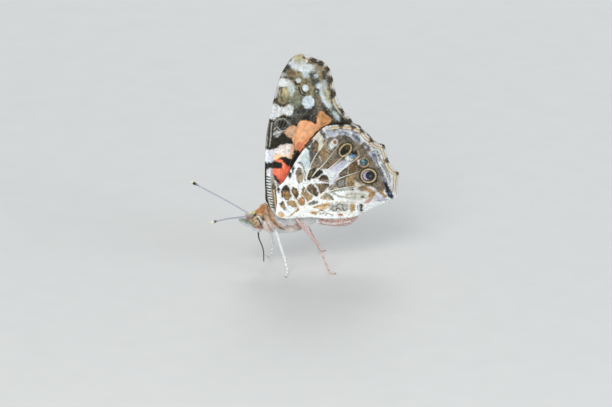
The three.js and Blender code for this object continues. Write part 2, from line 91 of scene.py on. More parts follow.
class Tint(Enum):
    """Colours of scales and hair, as red, green and blue out of 255."""

    BLACK = (38, 37, 33)
    INK = (45, 48, 56)
    DARK_OLIVE = (50, 48, 33)
    SOOT = (62, 55, 44)
    OLIVE = (76, 67, 45)
    CHARCOAL = (84, 80, 72)
    STONE = (104, 103, 94)
    GREY_BROWN = (114, 106, 96)
    GREY = (140, 137, 128)
    ASH = (166, 162, 150)
    PALE_GREY = (196, 196, 188)
    SILVER = (216, 219, 214)
    CHALK = (228, 234, 234)
    WHITE = (240, 244, 243)
    FROST = (226, 238, 245)
    ICE = (204, 220, 221)
    MIST = (170, 180, 168)
    LILAC_WHITE = (220, 219, 230)
    LILAC = (213, 211, 226)
    LILAC_GREY = (192, 194, 206)
    SLATE_LILAC = (160, 161, 178)
    SLATE = (118, 122, 138)
    UMBER = (80, 66, 46)
    BARK = (98, 78, 52)
    BROWN = (120, 98, 66)
    RUSSET = (150, 103, 68)
    HAZEL = (136, 114, 82)
    DRAB = (140, 126, 106)
    FAWN = (166, 150, 124)
    SAND = (190, 176, 150)
    CREAM = (232, 226, 204)
    CREAM_WHITE = (242, 238, 226)
    IVORY = (214, 211, 196)
    KHAKI = (164, 153, 116)
    SAGE = (206, 196, 152)
    MOSS = (110, 94, 58)
    GOLD_BROWN = (156, 124, 76)
    OCHRE = (178, 137, 82)
    WHEAT = (192, 160, 104)
    TAN = (182, 152, 110)
    CHESTNUT = (168, 108, 54)
    HONEY = (204, 166, 112)
    STRAW = (222, 190, 146)
    BUTTER = (226, 208, 158)
    PEACH = (232, 170, 124)
    PALE_PEACH = (250, 204, 158)
    SALMON = (222, 136, 98)
    APRICOT = (240, 160, 108)
    AMBER = (208, 150, 94)
    CORAL = (246, 114, 86)
    LIGHT_CORAL = (250, 138, 98)
    BLOOD = (44, 20, 14)
    TEAL = (96, 136, 142)
    DARK_TEAL = (56, 76, 76)
    SKY = (106, 144, 172)
    BLUE = (92, 118, 164)
    PALE_BLUE = (150, 182, 196)
    ROSE_GREY = (214, 186, 182)
    # The body's pale pink underside, part of the pink being painted reflection of pink light from below
    SHELL = (248, 227, 219)
    FLESH = (236, 204, 178)
    CINNAMON = (220, 184, 150)
    NUTMEG = (182, 146, 116)
    PINK_BROWN = (212, 170, 154)
    LIME_GREY = (212, 208, 158)
    GREY_GREEN = (150, 155, 132)
    GREEN_GREY = (152, 154, 130)
    RED_BROWN = (196, 124, 106)
    BLUSH = (238, 228, 222)
    VIOLET = (197, 185, 222)
    LEAF_GREY = (84, 92, 84)


class Layer(IntEnum):
    """Fields of noise that are unlike each other, by what reads them."""

    DRIFT_ACROSS = 1
    DRIFT_DOWN = 3
    PATCHWORK = 5
    SCALES = 6
    WARMTH = 7
    BAND_DEPTH = 8
    BAND_WAVE = 9
    VEIN_GAP = 10
    BAND_TONE = 11
    RAYS = 12
    DARK_FLECKS = 13
    PALE_FLECKS = 14
    CROWDING = 15


def linear(tint: Tint) -> Points:
    """Returns a tint as linear red, green and blue."""
    share = np.array(tint.value) / 255
    return np.where(share < 0.04045, share / 12.92, ((share + 0.055) / 1.055) ** 2.4)


def pixel_path(text: str) -> Path:
    """Reads pixels written as across,down pairs with spaces between them."""
    return tuple(tuple(map(float, pair.split(","))) for pair in text.split())


@dataclass(frozen=True)
class Patch:
    """A closed patch of one tint, in pixels of the photograph, with a darker rim or a fade down it."""

    tint: Tint
    outline: str
    soft: float = 0.55
    rim: Optional[tuple[Tint, float]] = None
    fade: Optional[Tint] = None


@dataclass(frozen=True)
class Spot:
    """An oval spot: its centre and two half widths in pixels, turned by so many degrees."""

    tint: Tint
    centre: Pair
    radii: Pair
    turn: float = 0.0
    soft: float = 0.5


@dataclass(frozen=True)
class Streak:
    """A line along a path in pixels, with its width, and its width at the end if it isn't 0.6 of that."""

    tint: Tint
    path: str
    width: float
    end: Optional[float] = None
    soft: float = 0.45


@dataclass(frozen=True)
class Band:
    """A band along a wing's margin, from one depth in millimetres to another, with a tint at vein ends."""

    tint: Tint
    start: float
    stop: float
    at_veins: Optional[Tint] = None
    reach: float = 0.5
    soft: float = 0.07


Mark = Union[Patch, Spot, Streak]


def rungs(tint: Tint, path: str, count: int, reach: float, width: float) -> tuple[Streak, ...]:
    """Returns short bars across a path, spread evenly along it.

    Args:
        tint: their colour.
        path: the pixels that they cross.
        count: how many there are.
        reach: their length in pixels.
        width: their width in pixels.

    Returns:
        One streak for each bar, tilted a little by the path's own lean.
    """
    line = np.array(pixel_path(path))
    steps = np.append(0, np.cumsum(np.hypot(*np.diff(line, axis=0).T)))
    spread = np.linspace(0, steps[-1], count)
    across, down = (np.interp(spread, steps, line[:, column]) for column in (0, 1))
    half, tilt = reach / 2, 0.3
    bars = (f"{x - half:.2f},{y - tilt:.2f} {x + half:.2f},{y + tilt:.2f}" for x, y in zip(across, down))
    return tuple(Streak(tint, bar, width, width * 0.8, soft=0.3) for bar in bars)


# The wings below: pixels of the photograph, measured
# Brown field, lilac front edge and white outer band
HINDWING_GROUND = (
    Patch(Tint.DRAB, "309,151 313,146 318,150 321,139 327,134 338,132 350,133 360,139 369,148 376,157 "
          "380,168 383,179 384,190 378,192 372,187 360,187 352,188 344,189 334,190 333,184 338,177 "
          "346,168 351,162 341,163 332,169 320,169 310,168 308,159", soft=0.8),
    Patch(Tint.FAWN, "330,184 340,176 350,170 358,166 364,170 368,184 356,186 344,189 330,192", soft=1),
    Patch(Tint.LILAC_GREY, "325,130 333,126 345,128 352,131 350,136 340,134 331,136 326,135", soft=0.9),
    Patch(Tint.CHALK, "318,130 324,124 331,122 345,123 356,128 364,133 372,141 380,146 386,155 391,164 "
          "395,173 395,184 393,192 389,190 386,181 380,171 374,161 366,151 359,144 352,140 344,137 "
          "330,138 321,140",
          rim=(Tint.LILAC_WHITE, 1.5)),
    Patch(Tint.LILAC_GREY, "325,131 331,129.6 336,131 336,135 330,136.6 326,135", soft=0.9),
    Patch(Tint.DRAB, "330,125.6 334,126.4 337,130 334,132 332,129", soft=0.8),
    Patch(Tint.LILAC_GREY, "337,130.6 344,130 348.6,132 350,136 343,137 338,135", soft=0.8),
    Streak(Tint.SLATE, "339,133.6 343,132 348,134.6", 1.2, 1, soft=0.7),
    Streak(Tint.DRAB, "336.6,137 343,135.4 350,138", 1.2, 1, soft=0.7),
    Streak(Tint.OLIVE, "335.6,129.4 341,128.6 347.4,129.6", 1.3, 1, soft=0.6),
    Patch(Tint.SLATE_LILAC, "351.6,129.4 356,129.8 359.4,132.6 356,134.6 352,133", soft=0.7),
    Streak(Tint.LILAC_WHITE, "354,136 360,140 366,147 372,154 377,163 382,172", 2, 2, soft=0.8),
    Streak(Tint.ASH, "378,155 383,163 388,172 390.4,182", 1.5, 1.3, soft=0.9),
)
# Cells of the front, from the edge to the cross vein
HINDWING_FRONT = (
    Patch(Tint.GREY_BROWN, "336,137 344,135.5 351,138 355,145 349,143 342,142 337,146 334,150 335,143"),
    Patch(Tint.SLATE, "352,134.5 356,135.5 359.8,139 359.5,143.5 356,141.5 353,138", soft=0.8,
          rim=(Tint.STONE, 0.5)),
    Streak(Tint.LILAC_GREY, "354,138.6 357.4,141.6", 1.2, soft=0.7),
    Patch(Tint.CREAM, "312,138 316,133 320,133.5 322,138 323,143 321,150 317.5,150 319,143 316.5,139.5 "
          "313,140"),
    Patch(Tint.GREY_BROWN, "320,129.8 322.5,130 323,132.5 325.5,134 325,139 322,136 320,133"),
    Patch(Tint.CHARCOAL, "304.5,149 306,144 309,140.5 312,138.8 313.3,140.5 311.5,143 308,146.3"),
    Patch(Tint.CHARCOAL, "306,147 309,147 311.5,150.5 311.3,153.5 308.5,150.5"),
    Patch(Tint.STONE, "312.5,142 314,146 313.4,152 310.5,152 310,147"),
    Patch(Tint.GOLD_BROWN, "314,141.5 316,140 318.2,142.5 318.2,147 316.5,150.5 314,152 313.5,147",
          rim=(Tint.BARK, 0.9)),
    Spot(Tint.CHESTNUT, (314.6, 150.6), (0.9, 1.2)),
    Patch(Tint.GREY_BROWN, "309.5,153 314,152.5 318,150 314,158 311.5,165 309,169 309.5,160"),
    Patch(Tint.ICE, "300,159 303.5,154 307.5,150.5 309.6,156 309.6,165 307.5,173 306,178.5 304.3,170 "
          "301.5,163", soft=0.9),
    Patch(Tint.OCHRE, "321,150.5 324,149.5 325.2,153 324.6,160.2 322.3,160.3 321.2,155",
          rim=(Tint.RUSSET, 0.6)),
    Patch(Tint.FAWN, "323.5,141.5 327,138.5 329,143 328,150.5 330.5,153 328,159 325.3,160.5 325,150"),
    Patch(Tint.DRAB, "314,160.5 317.5,153.5 320,157 322,163 319,168 311.5,168.3"),
    Streak(Tint.CHARCOAL, "315.5,160.5 318.5,155 320,151.5", 1.6),
    Streak(Tint.SILVER, "319.3,156.5 321.2,161", 1),
    Patch(Tint.DRAB, "324,162 329,160.5 334,163 330,167.5 324.5,168"),
    Patch(Tint.HAZEL, "328.5,158 331.5,156.5 334,160 333.5,164 330,163"),
    Patch(Tint.DRAB, "333,152 338,157 343,160.5 340,163 335,163 331,158"),
    Patch(Tint.CHALK, "328.8,144.5 331.5,140.5 335,138.3 338.3,141 337.8,145.5 334.5,147.5 332,150 "
          "329,149.8", rim=(Tint.PALE_GREY, 0.9)),
    Spot(Tint.CHESTNUT, (335, 142.5), (1.7, 2)),
    Patch(Tint.DRAB, "327,139 331,137 334,137.5 331,140 328.5,143.5"),
)
# The lilac ray and the squares behind it
HINDWING_MIDDLE = (
    Patch(Tint.LILAC_WHITE, "321,169.5 328,170 334,166 341,162.5 345,162 343,167 339.5,171.5 336.5,178 "
          "333.5,184.5 330,185.5 328.5,179 325.5,174", soft=1),
    Patch(Tint.LILAC, "333,168 338,164.6 342,163 340.6,167 337,171.6 334,173", soft=1.2),
    Patch(Tint.LILAC_GREY, "340,164.6 346,160.6 350,159.6 347,164 342,168", soft=1.1),
    Patch(Tint.CHALK, "322,170 328,170.4 334,171 335.4,176 332,184.5 329.5,184.5 328.3,178.5 325.5,174",
          soft=0.9),
    Patch(Tint.DRAB, "339.2,174 343,169.2 347,168.3 348.3,174 345,175.8 340,177.5", rim=(Tint.CHARCOAL, 1.4)),
    Patch(Tint.BROWN, "348.5,173 350.2,165.5 356,161.5 361,166 360.5,170.5 354,173.8"),
    Spot(Tint.RUSSET, (351, 168), (1.4, 2.6), turn=20),
    Streak(Tint.SAND, "347.5,174.5 349,167", 1),
    Patch(Tint.DRAB, "355,174 360,171 361,180 358.5,183 355.5,180"),
    Patch(Tint.ASH, "336.6,181 343,178.6 345.3,179.6 345.3,186.2 342,187.8 338,187.4 336.4,184",
          rim=(Tint.CHARCOAL, 1.1)),
    Patch(Tint.DRAB, "330.2,186.5 334.5,183.6 336.2,186 336,189.3 331.5,190.5"),
    Patch(Tint.SAND, "345.8,179 347.8,178 348,187 345.9,187.5"),
    Patch(Tint.TAN, "347.8,177.2 353,175 354.7,178 354.7,184.8 351,186.6 348.2,186.8",
          rim=(Tint.GOLD_BROWN, 0.8)),
    Patch(Tint.IVORY, "355.3,180.8 359,183.5 365,185 358,186.5 355.4,186.3"),
)
# The dark fan and the brown cells round the branching of the veins
HINDWING_FAN = (
    Patch(Tint.MOSS, "307,179.4 308.2,173 310.6,169.2 315,168 316.6,169.8 313,175.5 310.4,179.8",
          rim=(Tint.DARK_OLIVE, 1.2)),
    Streak(Tint.GOLD_BROWN, "309.4,176.6 312,171.8", 0.9, 0.7),
    Spot(Tint.DARK_OLIVE, (308.6, 178.6), (1.7, 1.1), turn=-15),
    Spot(Tint.OLIVE, (313.6, 170.2), (1.8, 1.2)),
    Patch(Tint.DARK_OLIVE, "311.8,177.4 315.8,171.8 319.8,169.2 323.4,172.2 320.5,175 316,177.8"),
    Streak(Tint.BLOOD, "312,178.2 317,178", 1),
    Streak(Tint.WHEAT, "315,179 318.6,178.2", 1),
    Patch(Tint.UMBER, "317.8,179.2 321,175.8 325,174.4 328.6,178.8 328,180.2 320,180"),
    Patch(Tint.HAZEL, "319,180.3 328.3,180.5 328.2,182 320,181.6"),
    Streak(Tint.UMBER, "321,181.4 328,181.9", 0.7),
    Streak(Tint.LILAC_WHITE, "312,180.9 320,181.6 329.5,183", 1.3),
    Patch(Tint.HAZEL, "313.5,184 320,183.4 328.3,184 327.7,187.2 325,190.3 322,193.3 319.8,194 "
          "318.6,189.5 316,186", rim=(Tint.BROWN, 0.8)),
    Patch(Tint.DRAB, "319.5,185 322,184.8 322,191 320,192.5 319,189"),
    Spot(Tint.INK, (328.2, 185), (0.9, 1.5)),
    Patch(Tint.CHALK, "305.8,188 308.3,182.9 313.3,183.2 317.6,187.8 319.6,193 318.4,197.6 313,196.2 "
          "308.5,192.8"),
    Patch(Tint.BROWN, "307.2,186.5 309.6,183.8 313.2,184.6 316.8,188.8 318.4,193 316.4,196.8 312.8,194.8 "
          "309.6,192.2 307,190.2", rim=(Tint.BARK, 1)),
    Spot(Tint.DARK_OLIVE, (315.7, 195), (1.6, 1), turn=-15),
    Spot(Tint.ASH, (312.2, 190.8), (0.9, 0.8)),
    Patch(Tint.TAN, "303.6,186 306,190 308,193.2 311.8,195.2 312.2,198.4 308,201 304.6,198.6 301.6,195 "
          "301.4,191", rim=(Tint.GOLD_BROWN, 0.7)),
    Patch(Tint.GOLD_BROWN, "303.6,189 305,186.4 305.8,190 306,193 303,193.5"),
)
# The cells at the wing's base
HINDWING_BASE = (
    Patch(Tint.GOLD_BROWN, "295.8,172 298,168 300.3,168 302.3,173 303,179 301,183.6 298,182.6 296,177",
          rim=(Tint.DRAB, 1.1), fade=Tint.SAND),
    Patch(Tint.GREY, "296.6,171.5 298,168 300.3,168 301.8,171.8 299,172.5"),
    Patch(Tint.DRAB, "302.5,170 304.4,170 305.2,176 304.8,181 303.4,176"),
    Patch(Tint.CHARCOAL, "298.2,162.4 300.4,161.6 302.4,163.6 303.8,167 302.6,167 300.6,164.4"),
    Streak(Tint.GREY_BROWN, "303,166.6 304.6,173 305.4,181", 1.4, 1),
    Patch(Tint.SOOT, "287.8,176 289,171.8 291,172.5 291.7,176 290.4,178.2 288.6,178"),
    Patch(Tint.DARK_TEAL, "291.8,170 292.6,166.6 294.3,166.6 294.4,170.5 292.8,173.6"),
    Patch(Tint.OCHRE, "281.2,193.5 282,189 284,186 287,185.2 289.2,188 290.2,192 291.2,197 289,199.8 "
          "286,200.2 283.6,197.4 282,196.8", rim=(Tint.BARK, 1)),
    Patch(Tint.SOOT, "281.8,192.5 282.3,188.8 284.2,186 287,185.4 289,188 289.2,190.8 285,191.5", soft=0.9),
    Streak(Tint.UMBER, "281.9,189.5 281.7,196", 1),
    Patch(Tint.GOLD_BROWN, "290.8,191 292.6,187.6 295,187.3 297.2,190 299.2,194 298.2,197 296.5,199.7 "
          "294.3,198 292.4,194.5", rim=(Tint.UMBER, 1.1)),
    Patch(Tint.BARK, "293.5,196 296,195 298.2,196.6 296.5,199.6 294.4,198.4"),
    Patch(Tint.INK, "277.2,188 279,187.4 280,190 279.3,193.2 278,192"),
    Patch(Tint.WHEAT, "280.3,203 282,201.3 283.6,202 285.6,206 286.5,209.3 285,210.2 282,208.2 "
          "280.3,205.6", rim=(Tint.MOSS, 0.9)),
    Patch(Tint.OLIVE, "280.3,204 281.8,201.4 283.3,202 283.2,203.6 281.5,205.4"),
    Patch(Tint.TAN, "286.3,202 290,200.3 294,200.8 296,203 297.4,206.2 294,207.7 290,206.2 287,204.4",
          rim=(Tint.GOLD_BROWN, 0.8)),
    Patch(Tint.OCHRE, "297.9,202 299,199.3 301.5,197.3 304,198 305.2,201 304,205 300,205.3",
          rim=(Tint.GOLD_BROWN, 0.7)),
    Spot(Tint.SALMON, (303, 200.2), (1.3, 1.5)),
    Streak(Tint.HONEY, "297,203 298,206 297.5,209 294,213 289,216.3", 2),
    Streak(Tint.BROWN, "298.8,209.5 296.5,212", 1.4),
    Patch(Tint.STRAW, "278,213 281,211.8 285.6,215 284,217 279,216.6"),
    Patch(Tint.FROST, "287.5,207 292,207.5 296,208.5 292,212.5 288,215 286,211"),
)
# The pale rear fold with its small marks
HINDWING_REAR = (
    Patch(Tint.GREY, "306.8,204.2 311,202.2 314.2,200.4 317.2,201.4 318.4,203 313,204.7 309,205.2",
          rim=(Tint.GREY_BROWN, 0.6)),
    Patch(Tint.SAND, "320.8,199 322,195.5 326,193 330,194 333.3,198 333.7,200 328,200.3"),
    Patch(Tint.HAZEL, "328.6,194.6 331.5,196.3 333.4,199.2 331.2,199.8"),
    Patch(Tint.STRAW, "312,207.6 318,205 324,203.4 330.4,202.4 331.2,205 328,208 324,210 318,208.7",
          rim=(Tint.HONEY, 0.7)),
    Patch(Tint.WHEAT, "308.6,211.5 312,210.2 316,211 317.2,213.5 315,215.2 311,213.7"),
    Spot(Tint.OCHRE, (312.6, 211.4), (1.4, 0.8)),
    Patch(Tint.PALE_GREY, "329,204 336,202.6 346,203 349,206 347.4,211 338,211.4 330,210.6", soft=1.4),
    Streak(Tint.BROWN, "314,207.6 320,206 328,204.6", 0.8, 0.7, soft=0.6),
    Streak(Tint.STONE, "318.4,211.6 321,210.4 325.4,211.8", 1.4),
    Streak(Tint.CHARCOAL, "330.6,209.6 333,207 335.4,205", 1.1),
    Streak(Tint.STONE, "336,206.4 339.4,204 343.4,206", 0.9, 0.8),
    Streak(Tint.CHARCOAL, "336,211 337.5,208 341,210", 1.2, 1),
    Streak(Tint.STONE, "342.6,207.4 344.4,210.6 347.4,209", 1.3, 1),
    Streak(Tint.ASH, "340,203.6 346,204.6 348,207", 0.9, 0.8),
    Spot(Tint.CHARCOAL, (333.4, 210.4), (1.2, 0.8)),
    Streak(Tint.ASH, "320,213.8 326,213 332,214.6", 1.3),
    Streak(Tint.STONE, "325.4,215.4 327.6,213.6", 0.9),
    Streak(Tint.STONE, "331.6,216 333.6,214", 0.9),
    Spot(Tint.CHESTNUT, (340.3, 214.6), (2.3, 1.5), soft=0.8),
    Patch(Tint.HONEY, "350,204.5 354.5,204 355,210 351,211", soft=0.8),
    Streak(Tint.HAZEL, "353.6,205 354.4,210", 0.9, soft=0.6),
    Patch(Tint.CHARCOAL, "359.4,205 362,204.4 362.8,210.5 360,211", soft=0.8),
    Streak(Tint.GREY, "357.6,205.6 358,210", 1, soft=0.7),
    Streak(Tint.BLACK, "361,205.6 361.4,209.6", 1.1, soft=0.5),
    Streak(Tint.PALE_GREY, "336,203 346,202 356,202.6", 1.3),
    Streak(Tint.MIST, "333,193 340,196.4 346,197", 1.3),
    Streak(Tint.PALE_GREY, "340,190.6 350,190 353,190", 1.6),
    Spot(Tint.STONE, (352.6, 189.6), (1.6, 1)),
    Streak(Tint.SAND, "338.5,196.5 345.5,197.2", 2),
    Patch(Tint.IVORY, "346,192.5 356,192 366,193.5 368,198 358,199.6 347,199", soft=1.2),
    Streak(Tint.MIST, "347,194.4 356,194 365,195.4", 0.8, 0.7, soft=0.7),
    Streak(Tint.MIST, "346,197.6 356,197.8 366,198.4", 0.8, 0.7, soft=0.7),
    Streak(Tint.MIST, "331,192.6 340,190.6 351,189.6", 1.2, 0.9, 0.8),
    Spot(Tint.GREY_BROWN, (362.6, 197), (1.7, 1.3)),
    Streak(Tint.PALE_GREY, "334,187.8 344,189.2", 1),
    Patch(Tint.TAN, "357.6,188 363,186 368,187.6 373,190 376.2,193 374,196.6 370,200 368.2,197.4 "
          "370.2,194 366,191.6 360.6,190.7", soft=1),
    Patch(Tint.HAZEL, "359,187.8 364,186.6 368,188.6 364.6,190 360.6,189.8", soft=0.9),
    Patch(Tint.HONEY, "369,193 373.5,191.6 375.2,194 372.5,197.4 369.5,198", soft=0.9),
    Patch(Tint.PINK_BROWN, "363.6,203.2 366.4,200 371,198.8 369.4,202.2 366,204", soft=0.8),
    Patch(Tint.DRAB, "375.5,183 381,181.5 384,188 382,191.5 376,189.3"),
    Patch(Tint.TAN, "379,191.5 382,190.2 385.2,194 387.2,197 384,197.8 381.7,195.5"),
    Patch(Tint.LILAC_WHITE, "374,197 379,193 382.5,196.5 386,199 380,201.5 373,201", soft=0.8),
    Streak(Tint.SLATE_LILAC, "378,200.5 384,200 388.5,199.3", 1),
)
# The row of slate and blue marks along the margin
HINDWING_ROW = (
    Patch(Tint.GREY_BROWN, "360.4,146 364,142.6 368.6,145.6 370.4,150 366.6,152 362.6,149.6", soft=0.8),
    Spot(Tint.LILAC_GREY, (365.4, 147), (1.8, 1.3), turn=-30, soft=0.7),
    Streak(Tint.DRAB, "366,139.6 370,143 374,148.4", 1.1, 0.9, soft=0.8),
    Patch(Tint.SLATE_LILAC, "372.4,153 375.6,153.4 377.4,158 377,163 374,161.6 372.4,157", soft=0.8),
    Spot(Tint.BLUE, (374.6, 155.4), (1.3, 1.4), soft=0.8),
    Streak(Tint.DRAB, "371.6,152 376.6,151.4 379.4,156 379.4,161", 0.9, 0.8, soft=0.7),
    Streak(Tint.SLATE, "376.4,161 379,167", 1.3, 1.2, soft=0.7),
    Patch(Tint.SLATE, "378.3,168 380.5,167.3 383.2,171.5 384.4,176.5 382,177 379.8,172.5", soft=0.7,
          rim=(Tint.CHARCOAL, 0.7)),
    Streak(Tint.GREY_BROWN, "381.6,164.6 385.4,170 387.4,177", 1, 0.8, soft=0.8),
    Streak(Tint.SLATE_LILAC, "385,178 387,184.6", 2.6, 2, soft=0.8),
    Streak(Tint.SLATE, "382.8,177 384.4,184", 1.6, 1.6, soft=0.7),
    Patch(Tint.INK, "383.8,184 386,182 389,187 391.4,192 394.4,196.6 391.8,198.8 388.2,196 385.8,191.5",
          soft=0.6),
    Spot(Tint.BLUE, (390.2, 192.8), (1.4, 2.4), turn=-12, soft=0.7),
    Streak(Tint.LILAC, "389,183 391.4,188.6", 1.2, 1, soft=0.7),
)
# The four eyespots, from front to rear
HINDWING_EYESPOTS = (
    Spot(Tint.DARK_OLIVE, (345.1, 150.2), (9.3, 7), turn=47, soft=0.9),
    Spot(Tint.BUTTER, (345.2, 150.1), (7.7, 5.3), turn=47),
    Spot(Tint.WHEAT, (345.2, 150.1), (6.9, 4.6), turn=47),
    Spot(Tint.BLACK, (345.2, 150.1), (6.1, 3.8), turn=47),
    Spot(Tint.BARK, (347.4, 147.6), (2.5, 2), turn=47, soft=0.8),
    Patch(Tint.CHALK, "344.6,158.5 348,155.3 350,157.6 353.5,159.4 349,161"),
    Spot(Tint.SKY, (353, 155.4), (4.4, 2.7), turn=15),
    Patch(Tint.BLACK, "351,153 354,151.6 357,151.4 356.8,153.8 354,154.8", soft=0.4),
    Streak(Tint.SOOT, "349.6,155 352,152.6 356,150.6", 0.8, 0.9),
    Spot(Tint.PALE_BLUE, (351, 156.6), (1.6, 0.9), turn=10),
    Streak(Tint.STRAW, "357.8,151 358.8,155 356.5,158.6", 1.2),
    Spot(Tint.GREY_BROWN, (363.8, 162.4), (6.2, 5.9), soft=0.9),
    Spot(Tint.STRAW, (363.8, 162.4), (5.2, 5)),
    Spot(Tint.SOOT, (363.8, 162.3), (4.3, 4.1)),
    Spot(Tint.TEAL, (363.7, 162.2), (3.6, 3.4)),
    Streak(Tint.DARK_TEAL, "365.6,160 366.4,162.5 365.2,164.6", 1.5),
    Spot(Tint.PALE_BLUE, (362.6, 160.8), (1.3, 1.2), soft=0.8),
    Streak(Tint.BLUSH, "358.4,160.2 358.3,164.4", 1.8),
    Streak(Tint.SOOT, "359.8,167.6 364,168.8 368,167.6", 1.1),
    Spot(Tint.BLACK, (368.6, 175.8), (9.4, 8.6), soft=0.9),
    Spot(Tint.BUTTER, (368.6, 175.8), (7.9, 7.1)),
    Spot(Tint.HONEY, (368.6, 175.8), (7, 6.2)),
    Spot(Tint.SOOT, (368.6, 175.8), (6.4, 5.6)),
    Spot(Tint.VIOLET, (367.8, 175.6), (5, 4.4)),
    Spot(Tint.INK, (370, 175.6), (4.5, 4.2)),
    Spot(Tint.DARK_TEAL, (370.2, 175.8), (2.1, 1.9), soft=0.9),
)
HINDWING_MARKS = (HINDWING_GROUND + HINDWING_FRONT + HINDWING_MIDDLE + HINDWING_FAN + HINDWING_BASE +
                  HINDWING_REAR + HINDWING_ROW + HINDWING_EYESPOTS)

# The pale tip and the olive field under it
FOREWING_TIP = (
    Patch(Tint.STONE, "310,76 316,66 325,66 331,76 333,90 336,102 345,116 338,122 330,119 324,110 319,112 "
          "315,100 313,88", soft=1.4),
    Patch(Tint.KHAKI, "283,81 286,70 292,68.5 297,71 302,73 304,78 309,77.5 313,73.5 316,80 316.5,90 316,98 "
          "306,97 300,93 296,88 291,81", soft=0.9),
    Patch(Tint.GREEN_GREY, "288,96 292,86 297,83 301,89 304.5,95 302,100 302,108 297,112 292,107 288,102",
          soft=1.3),
    Patch(Tint.SAGE, "291,58.5 296,54 303,52.5 307,56 305,61 297,61.5"),
    # A painted highlight: a pale peach line along the very edge of the tip
    Streak(Tint.PALE_PEACH, "296,54.6 300,53.4 305,54.6", 1.4, 1),
    Patch(Tint.SILVER, "287,65 292,60 297,58.4 303,60 306,63.4 310,64 315,65 315.4,70 312,74 308.4,77.8 "
          "303,77.4 302,72.6 297,71 293,69.4 290,67.6", soft=0.9),
    Patch(Tint.FROST, "288,64.6 291,62 294,63.4 296,67 300,68.4 303,66 310,66 312.6,70 307,73.6 303,73 "
          "297,70.4 291,67.4", soft=0.8),
    Patch(Tint.CHALK, "303.6,67 308,65.4 310,69 306,72 303.6,71", soft=0.8),
    Patch(Tint.ICE, "302.6,73 306.4,73 308,76 305,78 302.8,76.6", soft=0.9),
    Patch(Tint.LIME_GREY, "295,59.4 299,58.6 302.4,60 300,62 296,61.6", soft=0.9),
    Patch(Tint.SAND, "312,63 315.6,62.6 318,66 317.6,71.6 314.6,72.6 314.6,67", soft=0.9),
    Patch(Tint.CREAM, "304.6,60.4 307,59.6 308.4,62.4 306,63.4", soft=0.6),
    Patch(Tint.TAN, "308.6,60.6 311,60.4 311.6,63.4 309,63.8", soft=0.5),
    Patch(Tint.UMBER, "303,56 308,56.6 307,59 303.6,59", soft=0.6),
    Patch(Tint.DARK_OLIVE, "310.6,58.8 314,59 317.6,60.4 318,63 314.6,64 311.4,62.4", soft=0.6),
    Spot(Tint.CHALK, (308.2, 58.2), (1.5, 1), turn=-15),
    Spot(Tint.BLUSH, (312.8, 58.8), (1.1, 0.8)),
    Spot(Tint.TAN, (317.2, 59.8), (1.3, 0.8), turn=-15),
    Spot(Tint.BLUSH, (319.6, 61), (1.2, 1)),
    Patch(Tint.DARK_OLIVE, "318,63.4 321,62.6 325,66 323.6,70 320,68.6", soft=0.7),
)
# White and olive marks on the front edge
FOREWING_EDGE = (
    Patch(Tint.LEAF_GREY, "279,70 284.6,65.6 288.6,65.4 290,69 288,73 284,73.4 279,74", soft=0.8),
    Patch(Tint.CHARCOAL, "285,68 289.4,68.4 291.4,71 288,71.6", soft=0.6),
    Patch(Tint.PALE_GREY, "279,72.8 284,72.6 286.4,74 286,76.6 280,77.4", soft=0.7),
    Patch(Tint.HAZEL, "288,71.6 292,70.6 295,74 291,77.4 287,75", soft=0.9),
    Patch(Tint.CHARCOAL, "283.6,77.6 286,76.3 287.5,78.4 285,79.6"),
    Patch(Tint.CHARCOAL, "288.8,78.5 292,77.4 293.7,80 291,81.4"),
    Patch(Tint.SILVER, "287,80 292,82 294.6,86 294.6,91 292.4,95.6 289.4,96 287,91", soft=0.9),
    Patch(Tint.WHITE, "277,84 279.6,79.4 284,78.6 287,80.4 288.4,84 286.4,86.6 283,87.6 277,87", soft=0.7),
    Patch(Tint.ICE, "289,88 292,86 293.2,91 291,94.6 289.4,93", soft=0.8),
    Patch(Tint.SILVER, "272,97 274.6,90 277,86.4 279.6,87.8 279,92 277.6,96.4 274.6,99", soft=0.7),
    Streak(Tint.GREY, "275.2,92 273.6,98", 1.1, soft=0.6),
    Spot(Tint.LEAF_GREY, (281, 88.6), (1.3, 1.1)),
    Patch(Tint.KHAKI, "278.6,91.5 282,88.6 286,88.2 288.6,92 288.4,99 285.6,104.2 280,104.4 277.4,101 "
          "277.6,96", soft=0.9),
    Patch(Tint.SAGE, "279.6,91 283,89 287,88.8 288.4,93 286.6,97 284.6,95 281,97.4 279,95", soft=1),
    Patch(Tint.BUTTER, "284,90 287,89.4 288,92.4 285.6,94", soft=0.9),
    Streak(Tint.GREY_BROWN, "281.8,90 281,96 282.4,102", 1.4, soft=0.7),
    Streak(Tint.BARK, "276.8,99.6 279,103.6 283,105 286.6,103.6", 1.6, 1.2, soft=0.6),
    Patch(Tint.CHARCOAL, "270,101 274.6,99.4 277.4,101.6 277,104.6 273,104", soft=0.7),
    Patch(Tint.WHITE, "268,108 270.4,104.6 274.8,103.4 277.6,105 281,107 286,106 289,104.4 292.3,105.5 "
          "294.4,109 292.8,113 291.2,117 287,116.3 284,114.4 280,116.6 275,120.3 273,120.3 267,117.6",
          rim=(Tint.IVORY, 0.8)),
    Streak(Tint.LILAC_GREY, "282.6,108.4 281.8,112.4", 1.5, soft=0.7),
)
